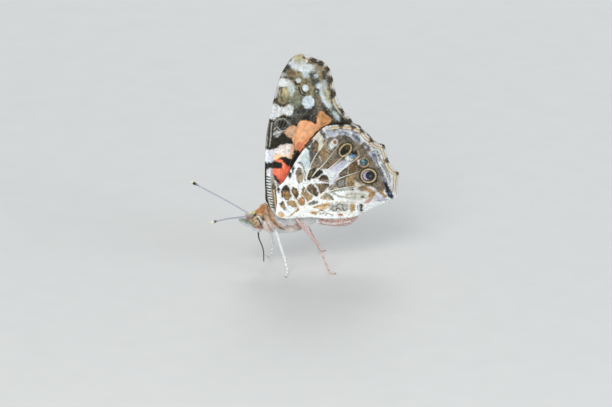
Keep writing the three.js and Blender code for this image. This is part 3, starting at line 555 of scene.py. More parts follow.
# Grey marks and pale lines on the black cell
FOREWING_CELL = (
    Patch(Tint.LEAF_GREY, "293,113 300,106 308,109.4 316,111 317,117 313,121 303,121 296,124 291,119",
          soft=1.3),
    Patch(Tint.BLACK, "301,117 306,115 312,117 312,120.6 304,120.6", soft=1),
    Streak(Tint.GREY, "292,116.4 297,114.6 302,115.6", 1.2, soft=0.7),
    Streak(Tint.STONE, "296,121 302,116 309,110", 1.1, soft=0.7),
    Streak(Tint.STONE, "310,119 313,113 315.6,107", 1.2, soft=0.8),
    Patch(Tint.STONE, "268,119.6 273,121 279,118.4 287,119 291,123 288,129 283,133 274,137 268,140",
          soft=1.2),
    Patch(Tint.BLACK, "279,121.4 284,120.8 287,124 285,127.4 281,128.4 278.4,125"),
    Streak(Tint.DARK_OLIVE, "269,120.8 275,121.6 280,117.8 285,117.4 291,119.6", 1.7, 1.4),
    Streak(Tint.MIST, "274,123.6 278,119.9 283,118.9 286,120.4 288.6,123.4", 1.2),
    Streak(Tint.ASH, "273,127 277,123.4 278,121", 1, soft=0.6),
    Streak(Tint.BLACK, "272.4,132 276,128.4 283,130 288.6,126", 1.3, soft=0.6),
    Streak(Tint.SILVER, "273,130.4 277,127.4 280.6,130.6", 1, soft=0.6),
    Streak(Tint.LILAC_GREY, "281,131.6 286,130.2 290,126.6", 1.1, soft=0.6),
    Patch(Tint.SILVER, "273.6,134.4 275.4,132 280,131 282,133 279.6,136 276,137.4", soft=0.8),
    Streak(Tint.BLACK, "272,137.6 276.6,135 281.6,133.6", 1, soft=0.5),
    Streak(Tint.MIST, "269.2,119 267.4,128 267,138 266.2,147", 1.5, 1.4),
    Streak(Tint.BLACK, "270.6,122 269.6,130 269,139 268,147", 1.1, 1),
    Streak(Tint.PALE_GREY, "272.2,123 271.2,130 270.6,139 269.4,147", 1.1, 1),
    Streak(Tint.DARK_OLIVE, "273.6,124 272.6,131 272.2,140", 1, 1),
)
# The orange field
FOREWING_ORANGE = (
    Patch(Tint.PEACH, "284.2,134.6 288,128 293,125.3 296.6,127.4 299,122 304,120.4 310,122 315,124.3 "
          "317,122 316.3,116 318,112.8 321.5,111.3 325,113.8 329,117.3 330.8,121 327,125 321,128 316,132 "
          "311,138 307,143 303,148 300.4,152.3 297,151 294,147 293,141 290,137.6"),
    Patch(Tint.CINNAMON, "286,134 289,129 293,126.5 295.5,128 295,136 291,137.5", soft=1.3),
    Patch(Tint.AMBER, "317,116 319,112.8 322,112 325,114.5 329.5,118 330,121.5 326,124.8 321,126.5 "
          "320,121", soft=1),
    Patch(Tint.SALMON, "294.5,145 299,142 304,143.5 302.5,148 300,152 297,151", soft=1),
    Patch(Tint.APRICOT, "304,138 309,137 307,142 304,145", soft=0.9),
    Streak(Tint.SALMON, "296.6,127.5 295,136 294.6,147", 1.1),
    Patch(Tint.CHARCOAL, "300,104.5 306,109 314,109 318,112 316,117 306,114 297,113", soft=0.9),
    Patch(Tint.DRAB, "316,96 320,96 321.5,103 319,110 316,108", soft=0.8),
)
# Black bar, pink and red base
FOREWING_BASE = (
    Patch(Tint.DARK_OLIVE, "267.3,150.6 271,146 274,139 279,137 283,134.2 288,136.5 292.2,139.5 "
          "292.6,142.6 289,144 283,144.4 279,146 274,148.6 270,151.2"),
    Patch(Tint.BLUSH, "269,153 274,150 279,146.6 284,144.7 290,144.2 293.6,146 294,151 292,157.5 289,159 "
          "284,157 279,157.8 275,160 270,161"),
    Patch(Tint.FROST, "267,152 272,151 275,151.5 273.5,156 272.5,162 268,162", soft=0.8),
    Patch(Tint.PALE_PEACH, "274,156 281,154.8 288,156.3 290.5,158 286,158 279,158.6 275,161", soft=0.8),
    Patch(Tint.PEACH, "291,145.5 294,147 293.6,152 291.6,158 289.6,157.5 291,151", soft=0.7),
    Patch(Tint.BLACK, "278,159 283,156.8 288,158.4 291.7,159.2 293.4,155 295,151.3 298,150.6 299.3,153.5 "
          "296,158.4 294,162.4 291.6,166.6 288.5,165.7 285,163.6 281.7,160.5"),
    Patch(Tint.CORAL, "273.2,168.3 279,167.6 281.8,166 282.2,163.6 277,161.6 276.5,159.6 280,159.6 "
          "284,162.3 287.4,165.4 290.8,167.3 289.5,171.4 287,175.5 285,179.3 282.4,183 280,184.4 "
          "277.4,182 272.8,173"),
    Patch(Tint.LIGHT_CORAL, "276,161 280,160.6 284,163 284.5,168 282,167 282,163.6", soft=0.8),
    Patch(Tint.LIGHT_CORAL, "277,169.5 281,169.5 281.5,176 278.5,175", soft=1),
    Patch(Tint.BLOOD, "273.2,174.6 276,177 279,180.4 280,183.4 278,182.8 275,180 273.4,178"),
)
# Lines along the front edge at the root
FOREWING_SHOULDER = (
    Patch(Tint.PALE_GREY, "263,168 272.4,168 272.8,175 277,182.6 281,186 279,192 278.5,200 279,216 271,216 "
          "264,204 262,190"),
    Patch(Tint.WHITE, "262,150.8 269,150.6 269.4,162.4 262,163"),
    Patch(Tint.LILAC_WHITE, "269,151 274.4,150 272.8,156 272.4,162 269.4,162"),
    Streak(Tint.DARK_OLIVE, "265.4,163 265.2,180 265.7,190 267.6,203 271.6,214", 2.8, 2.4),
    Streak(Tint.WHITE, "268.6,171 268.4,180 268.9,190 270.8,199.6 273.4,208", 3.8, 3.2),
    Streak(Tint.LILAC_WHITE, "271,166 270.6,178", 2.2, 1.6),
    Streak(Tint.ASH, "271.4,170 271.2,184 271.9,193 273.4,200", 0.8, 0.6, soft=0.5),
    Patch(Tint.FAWN, "272,178 274,181 276,190 277.4,204 276.4,211 274.6,210 272.6,198 271.6,188", soft=0.8),
    Streak(Tint.STRAW, "273.8,190 274.8,200 276,208", 1.7, 1.4),
    Streak(Tint.GREY_BROWN, "272.4,184 273.2,194 274.8,206", 0.7, 0.6),
    Streak(Tint.BROWN, "275,186 276.4,198 277,206", 0.8, 0.7),
    Streak(Tint.WHITE, "275,181 277.4,190 278.2,200 278.6,214", 1.6, 1.6),
)
# Ringed white spots
FOREWING_SPOTS = (
    Spot(Tint.KHAKI, (298.3, 81.2), (3.9, 4.3), soft=0.8),
    Spot(Tint.CHALK, (298.4, 81), (2.7, 2.4)),
    Streak(Tint.DARK_OLIVE, "295.4,82.6 297,84.8 299.6,84.8", 1.7, 1.5),
    Streak(Tint.KHAKI, "295.6,85.6 298,86.6", 1),
    Streak(Tint.DARK_OLIVE, "299.2,88 299.8,91.5 301.8,94.8 304.8,96", 1.8, 1.6),
    Streak(Tint.FAWN, "300.9,89.5 302.2,92.6 304.6,95", 1.1),
    Streak(Tint.DARK_OLIVE, "301.9,88.4 303,91.8 305.6,93.9", 1.7, 1.5),
    Spot(Tint.FROST, (305.4, 88.5), (3.1, 3.3)),
    Patch(Tint.FROST, "301.8,103 303.3,98.6 307,95.9 311.6,96.8 314.3,101.8 313.3,106 309,108.7 "
          "305,107.6"),
)
# Pale spots inside the margin
FOREWING_OUTER = (
    Patch(Tint.LEAF_GREY, "309,74 313,73 314.6,78 318,80 317.6,84 314,88 311,82", soft=1),
    Patch(Tint.KHAKI, "318,70 322,70.4 323.4,76 321.6,81 318.4,79", soft=0.9),
    Patch(Tint.CHARCOAL, "322.6,69.6 328,69 331,73 327,77 326.4,84 323.6,80", soft=1),
    Streak(Tint.PALE_GREY, "317,74 320.6,71 324,70.6", 1.1, soft=0.7),
    Streak(Tint.GREY, "325.4,71.6 326.6,78 327,84", 1.2, soft=0.7),
    Patch(Tint.FAWN, "319,66 322,69 319.4,71.6 317,69.6", soft=0.7),
    Spot(Tint.ICE, (316, 76.4), (2.2, 2.1), soft=0.9),
    Patch(Tint.LEAF_GREY, "314,89 317.6,89 319.6,95 316.6,98 314,96", soft=0.8),
    Spot(Tint.PALE_GREY, (316.4, 91.8), (1, 1)),
    Patch(Tint.PALE_GREY, "321,81.6 325,80.6 327.4,86 326.4,93 323,90", soft=1.1),
    Patch(Tint.ICE, "315.8,86 318,83.6 321.6,84.6 322.6,90 323.6,94.6 327,98 331.6,104 331,110.6 327,108 "
          "323,103 320,97 319.2,90", soft=1),
    Patch(Tint.CHALK, "317,85.6 320.6,85 321.4,89 319,89", soft=0.9),
    Patch(Tint.CHALK, "321.6,98 325,97.6 328.6,103 328.6,107 325,104", soft=1),
    Patch(Tint.SAGE, "324.6,90 328.6,91 331,99 330.6,103 327,99.6", soft=1.1),
    Patch(Tint.GREY_BROWN, "315,97.6 319,97 321.6,103 320,110.4 316.4,109", soft=1.1),
    Streak(Tint.FAWN, "317.6,98 319.4,108", 1, soft=0.8),
    Patch(Tint.SOOT, "324,107 329,110 333,119 329,120 324.6,113", soft=1.1),
    Streak(Tint.GREY, "326.6,108.6 331.6,116.4", 1, soft=0.7),
    Patch(Tint.ICE, "331,111.8 335,111.4 339.4,117 339.4,121.6 335.4,118.6 332.6,115.4", soft=0.9),
    Patch(Tint.SOOT, "329.6,78 334,78 334.6,84 330.6,85 329,82", soft=0.7),
    Patch(Tint.SOOT, "330.6,92.6 336,92 338,97 334,99.6 331,97.6", soft=0.7),
    Spot(Tint.DARK_TEAL, (331.8, 98.4), (1.7, 1.5), soft=0.8),
    Patch(Tint.STRAW, "324,66 327,67.6 325,70.6 321.6,69.6", soft=0.8),
    Spot(Tint.RUSSET, (323.6, 69.2), (1, 0.8), soft=0.8),
    Patch(Tint.FAWN, "328,72 331.4,73 332.6,78 330,80 328.4,77", soft=0.8),
    Streak(Tint.WHEAT, "331,84.6 331.6,88 333,92", 2.4, 2, soft=0.8),
    Streak(Tint.CREAM, "333,100 335,105.6 339,111.4 344,116.4", 2, 1.6, soft=0.7),
    Streak(Tint.TAN, "334.8,100 337,106 341,111.6 346.4,117.6", 1.4, 1.2),
    Spot(Tint.DARK_OLIVE, (341.4, 109.8), (1.6, 1.1), turn=-40),
    Patch(Tint.SOOT, "341,118 345,117 351,121.4 344,123", soft=0.8),
)
# The black bar across the cell, over all that lies before it
FOREWING_BAR = Patch(Tint.BLACK, "262,164 268,162.8 272,162.2 279,162 282,164 282.6,166.6 280,168.7 "
                     "274,168.4 268,168.8 262,175")
FOREWING_MARKS = (FOREWING_TIP + FOREWING_OUTER + FOREWING_EDGE + FOREWING_CELL + FOREWING_ORANGE +
                  FOREWING_BASE + FOREWING_SHOULDER + (FOREWING_BAR,) + FOREWING_SPOTS +
                  rungs(Tint.INK, "268.2,177 268.4,186 269.2,193 271,200 273.4,207.4", 12, 3.0, 1.5))

# The hindwing's veins below, with their paths measured on the photograph
HINDWING_VEINS = (
    ((298.4, 208), (296, 200.3), (292.4, 194), (289.4, 187.5)),
    ((300, 211), (298.4, 206), (296.2, 200)),
    ((296.2, 200), (299.6, 194.3), (302.6, 187), (306.6, 180.8)),
    ((306.4, 180.6), (305, 176), (303.4, 171), (302.6, 166.5), (300, 162.8), (298, 160)),
    ((306.5, 180.4), (307, 175.4), (309.4, 168.4), (312.6, 161.2), (316, 154.8), (320.2, 149), (327, 140.5),
     (329, 137.5)),
    ((311.5, 177.3), (316.5, 171), (320.5, 167.5), (326.8, 160.5), (334, 151), (338.7, 146)),
    ((312.5, 179.6), (318, 177.6), (322.5, 174), (327, 171)),
    ((335, 177.8), (339.9, 171.5), (347, 165.6), (354, 160.5), (361.7, 154.6)),
    ((326, 171), (334, 164.5), (342, 157.5), (348, 152)),
    ((334.6, 180.6), (341, 177.6), (348, 175.1), (356, 172.5), (361, 170.4)),
    ((300.5, 210), (306.4, 203.8), (314, 199.2), (323, 194), (332, 187.5), (334.6, 180.6)),
    ((325, 192.4), (337.6, 188.9), (348, 187.2), (354.8, 186), (366.3, 184.3)),
    ((301, 209.5), (312.2, 206.3), (320, 203), (332, 200.6), (345, 201.2), (356, 201), (368, 198.5),
     (374, 197.5)),
    ((300, 213), (309, 211.6), (319, 211), (330, 213), (340, 213.3), (352, 212.6), (361, 211.5)),
    ((296.2, 200), (291, 192.4), (288.9, 187.4)),
    ((299.6, 194.2), (302.6, 195.8), (305.3, 198.7), (306.5, 202)),
    ((303.5, 193.5), (306, 187), (307.5, 183)),
)
# The forewing's veins, as x and z in millimetres
FOREWING_VEINS = (
    ((-2.7, 12.4), (-3.25, 15), (-3.4, 20), (-3.2, 25), (-2.75, 30.6)),
    ((-2.45, 12.4), (-2.6, 14.8), (-2.6, 18.7), (-2.4, 22.7), (-1.9, 26.1)),
    ((-1.9, 26.1), (-1.8, 30.1), (-1.3, 34.1), (-0.8, 37.4)),
    ((-1.9, 26.1), (-1.1, 30.6), (-0.1, 35.6), (1, 40.6)),
    ((-1.9, 26.1), (-0.3, 31), (1.4, 36.5), (3, 42.1)),
    ((-1.3, 26.8), (1.2, 31.9), (3.7, 36.9), (6.4, 40.95)),
    ((-0.1, 26.9), (2.2, 31.2), (5.3, 35.6), (8.55, 38.9)),
    ((1.2, 26), (3.5, 30.1), (6.2, 32.9), (9.7, 34.3)),
    ((1.6, 24.4), (3.7, 28), (6.6, 30.2), (10.5, 31.9)),
    ((1, 21.2), (3.5, 24.9), (7, 27.6), (12.2, 29.2)),
    ((-2.15, 12.2), (-1, 14.7), (0.4, 19.1), (1, 21.2), (1.6, 24.4), (1.2, 26)),
    ((-1.9, 26.1), (-1.3, 26.8), (-0.1, 26.9), (1.2, 26)),
    ((-1.8, 12.1), (0.4, 14.9), (4.7, 19.5), (9.5, 23.2), (14.2, 25.6)),
)

# The faces between the closed wings: black tips with white spots, orange with black bars
FOREWING_UPPER_MARKS = (
    Patch(Tint.AMBER, "276,205 275,170 277,142 290,128 318,110 332,118 345,150 320,200 290,214", soft=1.2),
    Patch(Tint.CHALK, "273,105 287,106 294,109 287,117 272,119", soft=0.7),
    Spot(Tint.CHALK, (308, 102), (5, 5.5)),
    Spot(Tint.CHALK, (305.4, 88.5), (2.6, 2.6)),
    Spot(Tint.CHALK, (298.3, 81), (2.4, 2.4)),
    Patch(Tint.CHALK, "280,84 288,84 290,92 281,92", soft=0.8),
    Patch(Tint.SOOT, "268,150 278,137 292,140 292,144 278,148", soft=0.8),
    Patch(Tint.SOOT, "270,163 280,162 290,159 296,152 300,154 290,168 272,168", soft=0.8),
)
# The same faces of the hindwings
HINDWING_UPPER_MARKS = (
    Patch(Tint.BROWN, "276,215 277,186 292,168 306,160 312,185 306,214", soft=3),
    Streak(Tint.SOOT, "325,127 352,128 372,142 384,158 394,175 392,196", 6, 6),
    Spot(Tint.SOOT, (345, 150), (4.5, 3.6), turn=45),
    Spot(Tint.SOOT, (354, 156), (3, 2.4)),
    Spot(Tint.SOOT, (363.8, 162.4), (2.8, 2.6)),
    Spot(Tint.SOOT, (368.6, 175.9), (4, 3.8)),
    Streak(Tint.SOOT, "333,131 352,137 370,155 380,178", 3, 3),
)

# Head, thorax and abdomen, skin and coat alike
BODY_MARKS = (
    Patch(Tint.ROSE_GREY, "312,190 372,190 372,240 312,240", soft=2),
    # The pale pink streaks here are partly painted reflection of pink light from below
    Streak(Tint.SHELL, "314,216.4 330,218.8 352,217.6", 2.2, 1.6),
    Streak(Tint.PINK_BROWN, "314,219 330,221.2 352,219.6", 1.1, 0.9, 0.7),
    Streak(Tint.SHELL, "316,221.8 332,223.8 350,221.8", 2.2, 1.6),
    Patch(Tint.LIME_GREY, "248,216.5 250,212.5 257,210 257.5,215 252,216.5", soft=0.5),
    Patch(Tint.PINK_BROWN, "244,220.5 247,215.5 252.5,216 252.5,220.5", soft=0.6),
    Patch(Tint.GREY_GREEN, "251.8,216 257,215 257,220.5 252,220.5", soft=0.6),
    Patch(Tint.SAND, "243,220 256,220 256,225 247,225", soft=0.6),
    Patch(Tint.HAZEL, "253.5,221 257,220 257,227.5 254.3,226.5", soft=0.6),
    Patch(Tint.OLIVE, "256,215 264.5,215 264.6,224 262,224 256,219", soft=0.7),
    Patch(Tint.RED_BROWN, "255.5,225.6 262.6,225.6 261.6,228 256.5,228", soft=0.6),
    Patch(Tint.STRAW, "255,213 258,207 263,198 265,198 264.6,217 257,215.5", soft=0.8),
    Patch(Tint.AMBER, "257,211 264,203 264.4,213 259.5,213", soft=0.9),
    Streak(Tint.BARK, "256,215 258.6,218.2 262.2,225", 3.6, 3.2, 0.6),
    Streak(Tint.WHITE, "257.2,215.4 260,218.8 262,222.2 263.6,226.6", 1.5, 2.6),
    Patch(Tint.FLESH, "265,200 268,212 273,222 268,225 264.4,220", soft=0.8),
    Patch(Tint.SHELL, "263,222.6 271,222 280,229 276,233 264,233", soft=1),
    Streak(Tint.WHITE, "238,223.6 246,226.6 252,229.2 258,231 266,231.2 274,232.4", 4.6, 4.2),
    Streak(Tint.MIST, "264.6,202 264.9,211 265.2,218", 1.3, 1.1),
    Streak(Tint.CINNAMON, "265.6,196 266.8,207 269.2,215 273.2,221.4 279,226.6 287,231", 4.8, 3.4),
    Streak(Tint.FLESH, "268.8,200 270,208 272.6,214.6 276,220 282,225.4", 2.4, 1.8),
    Streak(Tint.NUTMEG, "265.4,200 266.8,208.4 269.4,215.8 273.4,222 278.6,226.6 287,231", 1.3, 1.5),
    Patch(Tint.WHITE, "277,213 300,212 318,216 315,230 300,233 288,231 277,221", soft=0.9),
    Patch(Tint.SHELL, "286,227 300,223 310,227 300,236 288,236", soft=1.2),
    # A painted shadow: a lilac-grey line below the wing's base
    Streak(Tint.LILAC_GREY, "279,219.6 286,218 291,216.8", 1.6, 1.2, 0.7),
    Streak(Tint.ROSE_GREY, "284,226.6 294,226 304,223.4", 1.3, 1, 0.8),
    # Painted shade: a dark spot in the hollow at the wing's base
    Spot(Tint.UMBER, (291.7, 217.2), (1.5, 1.4)),
)


@dataclass(frozen=True)
class Camera:
    """The photograph's view: degrees round from -Y and above the floor, and its reach in millimetres."""

    azimuth: float = -12.0
    elevation: float = 20.0
    target: Triple = (4.05, 0.0, 12.24)
    distance: float = 2400.0
    field_width: float = 115.5
    sensor: float = 36.0

    def axes(self) -> tuple[Points, Points, Points]:
        """Works out how the view lies.

        Returns:
            Its right, up and back directions.
        """
        turn = math.radians(self.azimuth)
        rise = math.radians(self.elevation)
        back = np.array((math.sin(turn) * math.cos(rise), -math.cos(turn) * math.cos(rise), math.sin(rise)))
        right = np.array((math.cos(turn), math.sin(turn), 0.0))
        return right, np.cross(back, right), back

    def build(self) -> None:
        """Puts the camera in the scene."""
        lens = bpy.data.cameras.new("camera")
        lens.sensor_width = self.sensor
        lens.lens = self.sensor * self.distance / self.field_width
        lens.clip_start = 0.01
        holder = bpy.data.objects.new("camera", lens)
        back = self.axes()[2]
        holder.location = (np.array(self.target) + SHIFT + back * self.distance) * MM
        holder.rotation_euler = Vector(back).to_track_quat("Z", "Y").to_euler()
        bpy.context.scene.collection.objects.link(holder)
        bpy.context.scene.camera = holder


@dataclass(frozen=True)
class Plate:
    """Where points of the butterfly's left side show in the photograph."""

    camera: Camera = Camera()
    scale: float = 5.3
    origin: Pair = (285.0, 266.0)
    rounds: int = 8

    def pixels(self, points: Points) -> Points:
        """Gives the pixels at which points show.

        Args:
            points: rows of x, y and z in millimetres, on either side.

        Returns:
            Rows of pixels across and down, as if every point were on the left side.
        """
        right, up, _ = self.camera.axes()
        left = points * (1, 0, 1) - np.abs(points * (0, 1, 0))
        across = self.origin[0] + self.scale * (left @ right)
        return np.stack([across, self.origin[1] - self.scale * (left @ up)], 1)

    def on_wing(self, path: Path, lateral: Callable[[Points, Points], Points]) -> Points:
        """Finds where pixels lie on a wing.

        Args:
            path: pixels across and down.
            lateral: the wing's distance from the middle plane at x and z.

        Returns:
            Rows of x and z in millimetres.
        """
        right, up, _ = self.camera.axes()
        place = np.array(path, float)
        across = (place[:, 0] - self.origin[0]) / self.scale
        rise = (self.origin[1] - place[:, 1]) / self.scale
        x, z = across, rise
        for _ in range(self.rounds):
            y = -lateral(x, z)
            x = (across - right[1] * y) / right[0]
            z = (rise - up[1] * y - up[0] * x) / up[2]
        return np.stack([x, z], 1)


def ease(value: Points, start: float, stop: float) -> Points:
    """Rises smoothly from 0 at start to 1 at stop."""
    share = np.clip((value - start) / (stop - start), 0, 1)
    return share * share * (3 - 2 * share)


def blend(first: Points, second: Points, share: Points) -> Points:
    """Goes from first to second as share goes from 0 to 1."""
    return first + (second - first) * share


def unit(rows: Points) -> Points:
    """Scales each row to length 1."""
    return rows / np.maximum(np.linalg.norm(rows, axis=-1, keepdims=True), 1e-12)


def curve_through(rows: Sequence, step: float, closed: bool = False) -> Points:
    """Draws a smooth curve through points and spaces points along it evenly.

    Args:
        rows: the points it passes.
        step: about how far apart its points lie.
        closed: whether it returns to its start.

    Returns:
        The curve's points, without the repeated last one where it is closed.
    """
    knots = np.array(rows, float)
    if closed:
        padded = np.vstack([knots[-1:], knots, knots[:2]])
    else:
        padded = np.vstack([2 * knots[:1] - knots[1:2], knots, 2 * knots[-1:] - knots[-2:-1]])
    before, start, stop, after = padded[:-3], padded[1:-2], padded[2:-1], padded[3:]
    share = np.linspace(0, 1, 24, endpoint=False)[:, None, None]
    fine = 0.5 * (2 * start + (stop - before) * share + (2 * before - 5 * start + 4 * stop - after) * share**2
                  + (3 * start - before - 3 * stop + after) * share**3)
    fine = fine.transpose(1, 0, 2).reshape(-1, knots.shape[1])
    fine = np.vstack([fine, knots[:1] if closed else knots[-1:]])
    length = np.concatenate([[0], np.cumsum(np.linalg.norm(np.diff(fine, axis=0), axis=1))])
    count = max(2, round(length[-1] / step))
    places = np.linspace(0, length[-1], count + 1)
    even = np.stack([np.interp(places, length, column) for column in fine.T], 1)
    return even[:-1] if closed else even


def distance_to(points: Points, path: Points, closed: bool) -> tuple[Points, Points]:
    """Measures how far points in a plane are from a path.

    Args:
        points: rows of two numbers.
        path: the path's own points.
        closed: whether its last point joins its first.

    Returns:
        Each point's distance, and how far along the path its nearest place is, from 0 to 1.
    """
    stops = np.roll(path, -1, 0) if closed else path[1:]
    starts = path if closed else path[:-1]
    best = np.full(len(points), np.inf)
    along = np.zeros(len(points))
    for index, (start, stop) in enumerate(zip(starts, stops)):
        step = stop - start
        share = np.clip(((points - start) @ step) / max(step @ step, 1e-12), 0, 1)
        gap = np.linalg.norm(points - start - share[:, None] * step, axis=1)
        nearer = gap < best
        best[nearer] = gap[nearer]
        along[nearer] = (index + share[nearer]) / len(starts)
    return best, along


def is_inside(points: Points, outline: Points) -> Points:
    """Tells which points in a plane lie inside a closed outline.

    Args:
        points: rows of two numbers.
        outline: the outline's own points.

    Returns:
        True or false for each point.
    """
    inside = np.zeros(len(points), bool)
    for start, stop in zip(outline, np.roll(outline, -1, 0)):
        if start[1] == stop[1]:
            continue
        spans = (start[1] > points[:, 1]) != (stop[1] > points[:, 1])
        crossing = (stop[0] - start[0]) * (points[:, 1] - start[1]) / (stop[1] - start[1]) + start[0]
        inside ^= spans & (points[:, 0] < crossing)
    return inside


class Grain:
    """Seeded smooth noise over a plane."""

    def __init__(self, seed: int, size: int = 128) -> None:
        """Draws the table that the noise reads."""
        self.size = size
        self.table = np.random.default_rng(seed).random((size, size)) - 0.5

    def at(self, places: Points, pitch: float, layer: int = 0) -> Points:
        """Reads the noise.

        Args:
            places: rows of two numbers.
            pitch: size of one blotch in the same units.
            layer: which of many unlike fields to read.

        Returns:
            Numbers from -0.5 to 0.5.
        """
        cell = places / pitch + layer * np.array((17.3, 9.1))
        corner = np.floor(cell).astype(int)
        share = cell - corner
        share = share * share * (3 - 2 * share)
        low_x, low_y = corner.T % self.size
        high_x, high_y = (low_x + 1) % self.size, (low_y + 1) % self.size
        near = blend(self.table[low_x, low_y], self.table[high_x, low_y], share[:, 0])
        far = blend(self.table[low_x, high_y], self.table[high_x, high_y], share[:, 0])
        return blend(near, far, share[:, 1])


@dataclass
class Painter:
    """Lays marks on points by where they show in the photograph."""

    plate: Plate = field(default_factory=Plate)
    grain: Grain = field(default_factory=lambda: Grain(7))
    blotch: float = 2.2
    wander: float = 1.1
    feather: float = 0.8
    fray: float = 1.35
    spot_share: float = 0.12
    streak_share: float = 0.4
    softening: float = 1.6
    patchwork: float = 2.4
    mottle: float = 0.55
    scale_size: float = 0.95
    speckle: float = 0.4
    warmth: float = 0.2
    pale_share: float = 0.42
    wing_root: Pair = (284.0, 216.0)
    ray_reach: float = 60.0
    ray_pitch: Pair = (7.0, 0.9)
    ray_depth: float = 0.4
    fleck_size: float = 1.15
    fleck_crowding: float = 0.2
    dark_fleck: float = 0.6
    dark_fleck_at: Pair = (0.16, 0.3)
    pale_fleck: float = 0.4
    pale_fleck_at: Pair = (0.2, 0.34)
    middle_tones: Pair = (0.12, 0.6)
    deep_tones: Pair = (0.03, 0.09)
    clean_orange: Pair = (0.42, 0.62)
    # Painted shade: dark tones are darkened by this power of their brightness, and the wings darken by
    # margin_shade between these distances from the root
    depth_of_darks: float = 0.2
    margin_shade: float = 0.76
    margin_from_root: Pair = (30.0, 110.0)

    def paint(self, points: Points, ground: Tint, marks: Sequence[Mark]) -> Points:
        """Colours points on either side of the butterfly.

        Args:
            points: rows of x, y and z in millimetres.
            ground: the tint under all marks.
            marks: what lies on it, each over the ones before.

        Returns:
            Rows of linear red, green and blue.
        """
        places = self.plate.pixels(points)
        drift = np.stack([
            self.grain.at(places, self.blotch, layer) * self.wander
            + self.grain.at(places, self.feather, layer + 1) * self.fray
            for layer in (Layer.DRIFT_ACROSS, Layer.DRIFT_DOWN)], 1)
        colours = np.tile(linear(ground), (len(points), 1))
        for mark in marks:
            share = {Spot: self.spot_share, Streak: self.streak_share, Patch: 1.0}[type(mark)]
            self.lay(mark, places + drift * share, colours)
        return self.weathered_and_shaded(places, colours)

    def weathered_and_shaded(self, places: Points, colours: Points) -> Points:
        """Breaks colours up as rows of scales do: blotches, rays out from the root, and flecks. Then adds
        painted shade: dark tones darker, and the wings darker towards their margins.

        Args:
            places: pixels of the points.
            colours: their even colours.

        Returns:
            The broken colours.
        """
        depth = blend(1.0, self.pale_share, ease(colours.mean(1), *self.middle_tones))
        shade = self.grain.at(places, self.patchwork, Layer.PATCHWORK) * self.mottle
        shade = shade + self.grain.at(places, self.scale_size, Layer.SCALES) * self.speckle
        offset = places - self.wing_root
        from_root = np.hypot(*offset.T)
        arc = np.arctan2(offset[:, 0], -offset[:, 1]) * self.ray_reach
        rays = np.stack([from_root / self.ray_pitch[0], arc / self.ray_pitch[1]], 1)
        shade = shade + self.grain.at(rays, 1.0, Layer.RAYS) * self.ray_depth
        warm = self.grain.at(places, self.patchwork * 1.6, Layer.WARMTH) * self.warmth
        crowd = self.grain.at(places, self.patchwork * 2.5, Layer.CROWDING) * self.fleck_crowding
        dark = self.grain.at(places, self.fleck_size, Layer.DARK_FLECKS) + crowd
        dark = ease(dark, *self.dark_fleck_at) * self.dark_fleck
        pale = self.grain.at(places, self.fleck_size, Layer.PALE_FLECKS) - crowd
        pale = ease(pale, *self.pale_fleck_at) * self.pale_fleck
        tone = 1 + np.outer(shade * depth, (1, 1, 1)) + np.outer(warm * depth, (1, 0, -1))
        clean = ease(colours[:, 0] - colours[:, 2], *self.clean_orange)
        dark, pale = dark * (1 - clean), pale * (1 - clean) * ease(colours.mean(1), *self.deep_tones)
        colours = colours * tone * (1 - dark * depth)[:, None]
        colours = blend(colours, linear(Tint.SAND), (pale * ease(depth, 0.5, 1))[:, None])
        # Painted shade: dark tones made darker, and the wings darker towards their margins; clean orange is
        # spared most of it
        painted_dark_shade = (np.clip(colours, 0, 1).mean(1) + 0.03) ** self.depth_of_darks
        painted_margin_shade = blend(1.0, self.margin_shade, ease(from_root, *self.margin_from_root))
        colours = colours * blend(painted_dark_shade * painted_margin_shade, 1.0, clean * 0.8)[:, None]
        return np.clip(colours, 0, 1)

    def lay(self, mark: Mark, places: Points, colours: Points) -> None:
        """Blends one mark into the colours.

        Args:
            mark: the patch, spot or streak.
            places: pixels of the points.
            colours: their colours, changed in place.
        """
        if isinstance(mark, Spot):
            reach = max(mark.radii) + 2
            path = np.array([mark.centre])
        else:
            closed = isinstance(mark, Patch)
            path = curve_through(pixel_path(mark.outline if closed else mark.path), 0.8, closed)
            reach = 3 if closed else 2 + mark.width / 2
        near = np.flatnonzero(((places > path.min(0) - reach) & (places < path.max(0) + reach)).all(1))
        if not len(near):
            return
        spots = places[near]
        tint = np.tile(linear(mark.tint), (len(near), 1))
        if isinstance(mark, Spot):
            beyond = self.beyond_spot(mark, spots)
        elif isinstance(mark, Streak):
            gap, along = distance_to(spots, path, False)
            beyond = gap - blend(mark.width, mark.end or 0.6 * mark.width, along) / 2
        else:
            gap, _ = distance_to(spots, path, True)
            beyond = np.where(is_inside(spots, path), -gap, gap)
            if mark.fade:
                down = (spots[:, 1] - path[:, 1].min()) / np.ptp(path[:, 1])
                tint = blend(tint, linear(mark.fade), ease(down, 0.25, 0.9)[:, None])
            if mark.rim:
                rim_tint, width = mark.rim
                edge = 1 - ease(-beyond, width * 0.6, width * 1.8)
                tint = blend(tint, linear(rim_tint), edge[:, None])
        soft = mark.soft * (self.softening if isinstance(mark, Patch) else 1)
        cover = 1 - ease(beyond, -soft, soft)
        colours[near] = blend(colours[near], tint, cover[:, None])

    @staticmethod
    def beyond_spot(mark: Spot, spots: Points) -> Points:
        """Measures how far points are outside an oval spot.

        Args:
            mark: the spot.
            spots: pixels of the points.

        Returns:
            Pixels from its edge, less than 0 inside it.
        """
        offset = spots - mark.centre
        turn = math.radians(mark.turn)
        across = offset[:, 0] * math.cos(turn) - offset[:, 1] * math.sin(turn)
        down = offset[:, 0] * math.sin(turn) + offset[:, 1] * math.cos(turn)
        return (np.hypot(across / mark.radii[0], down / mark.radii[1]) - 1) * min(mark.radii)


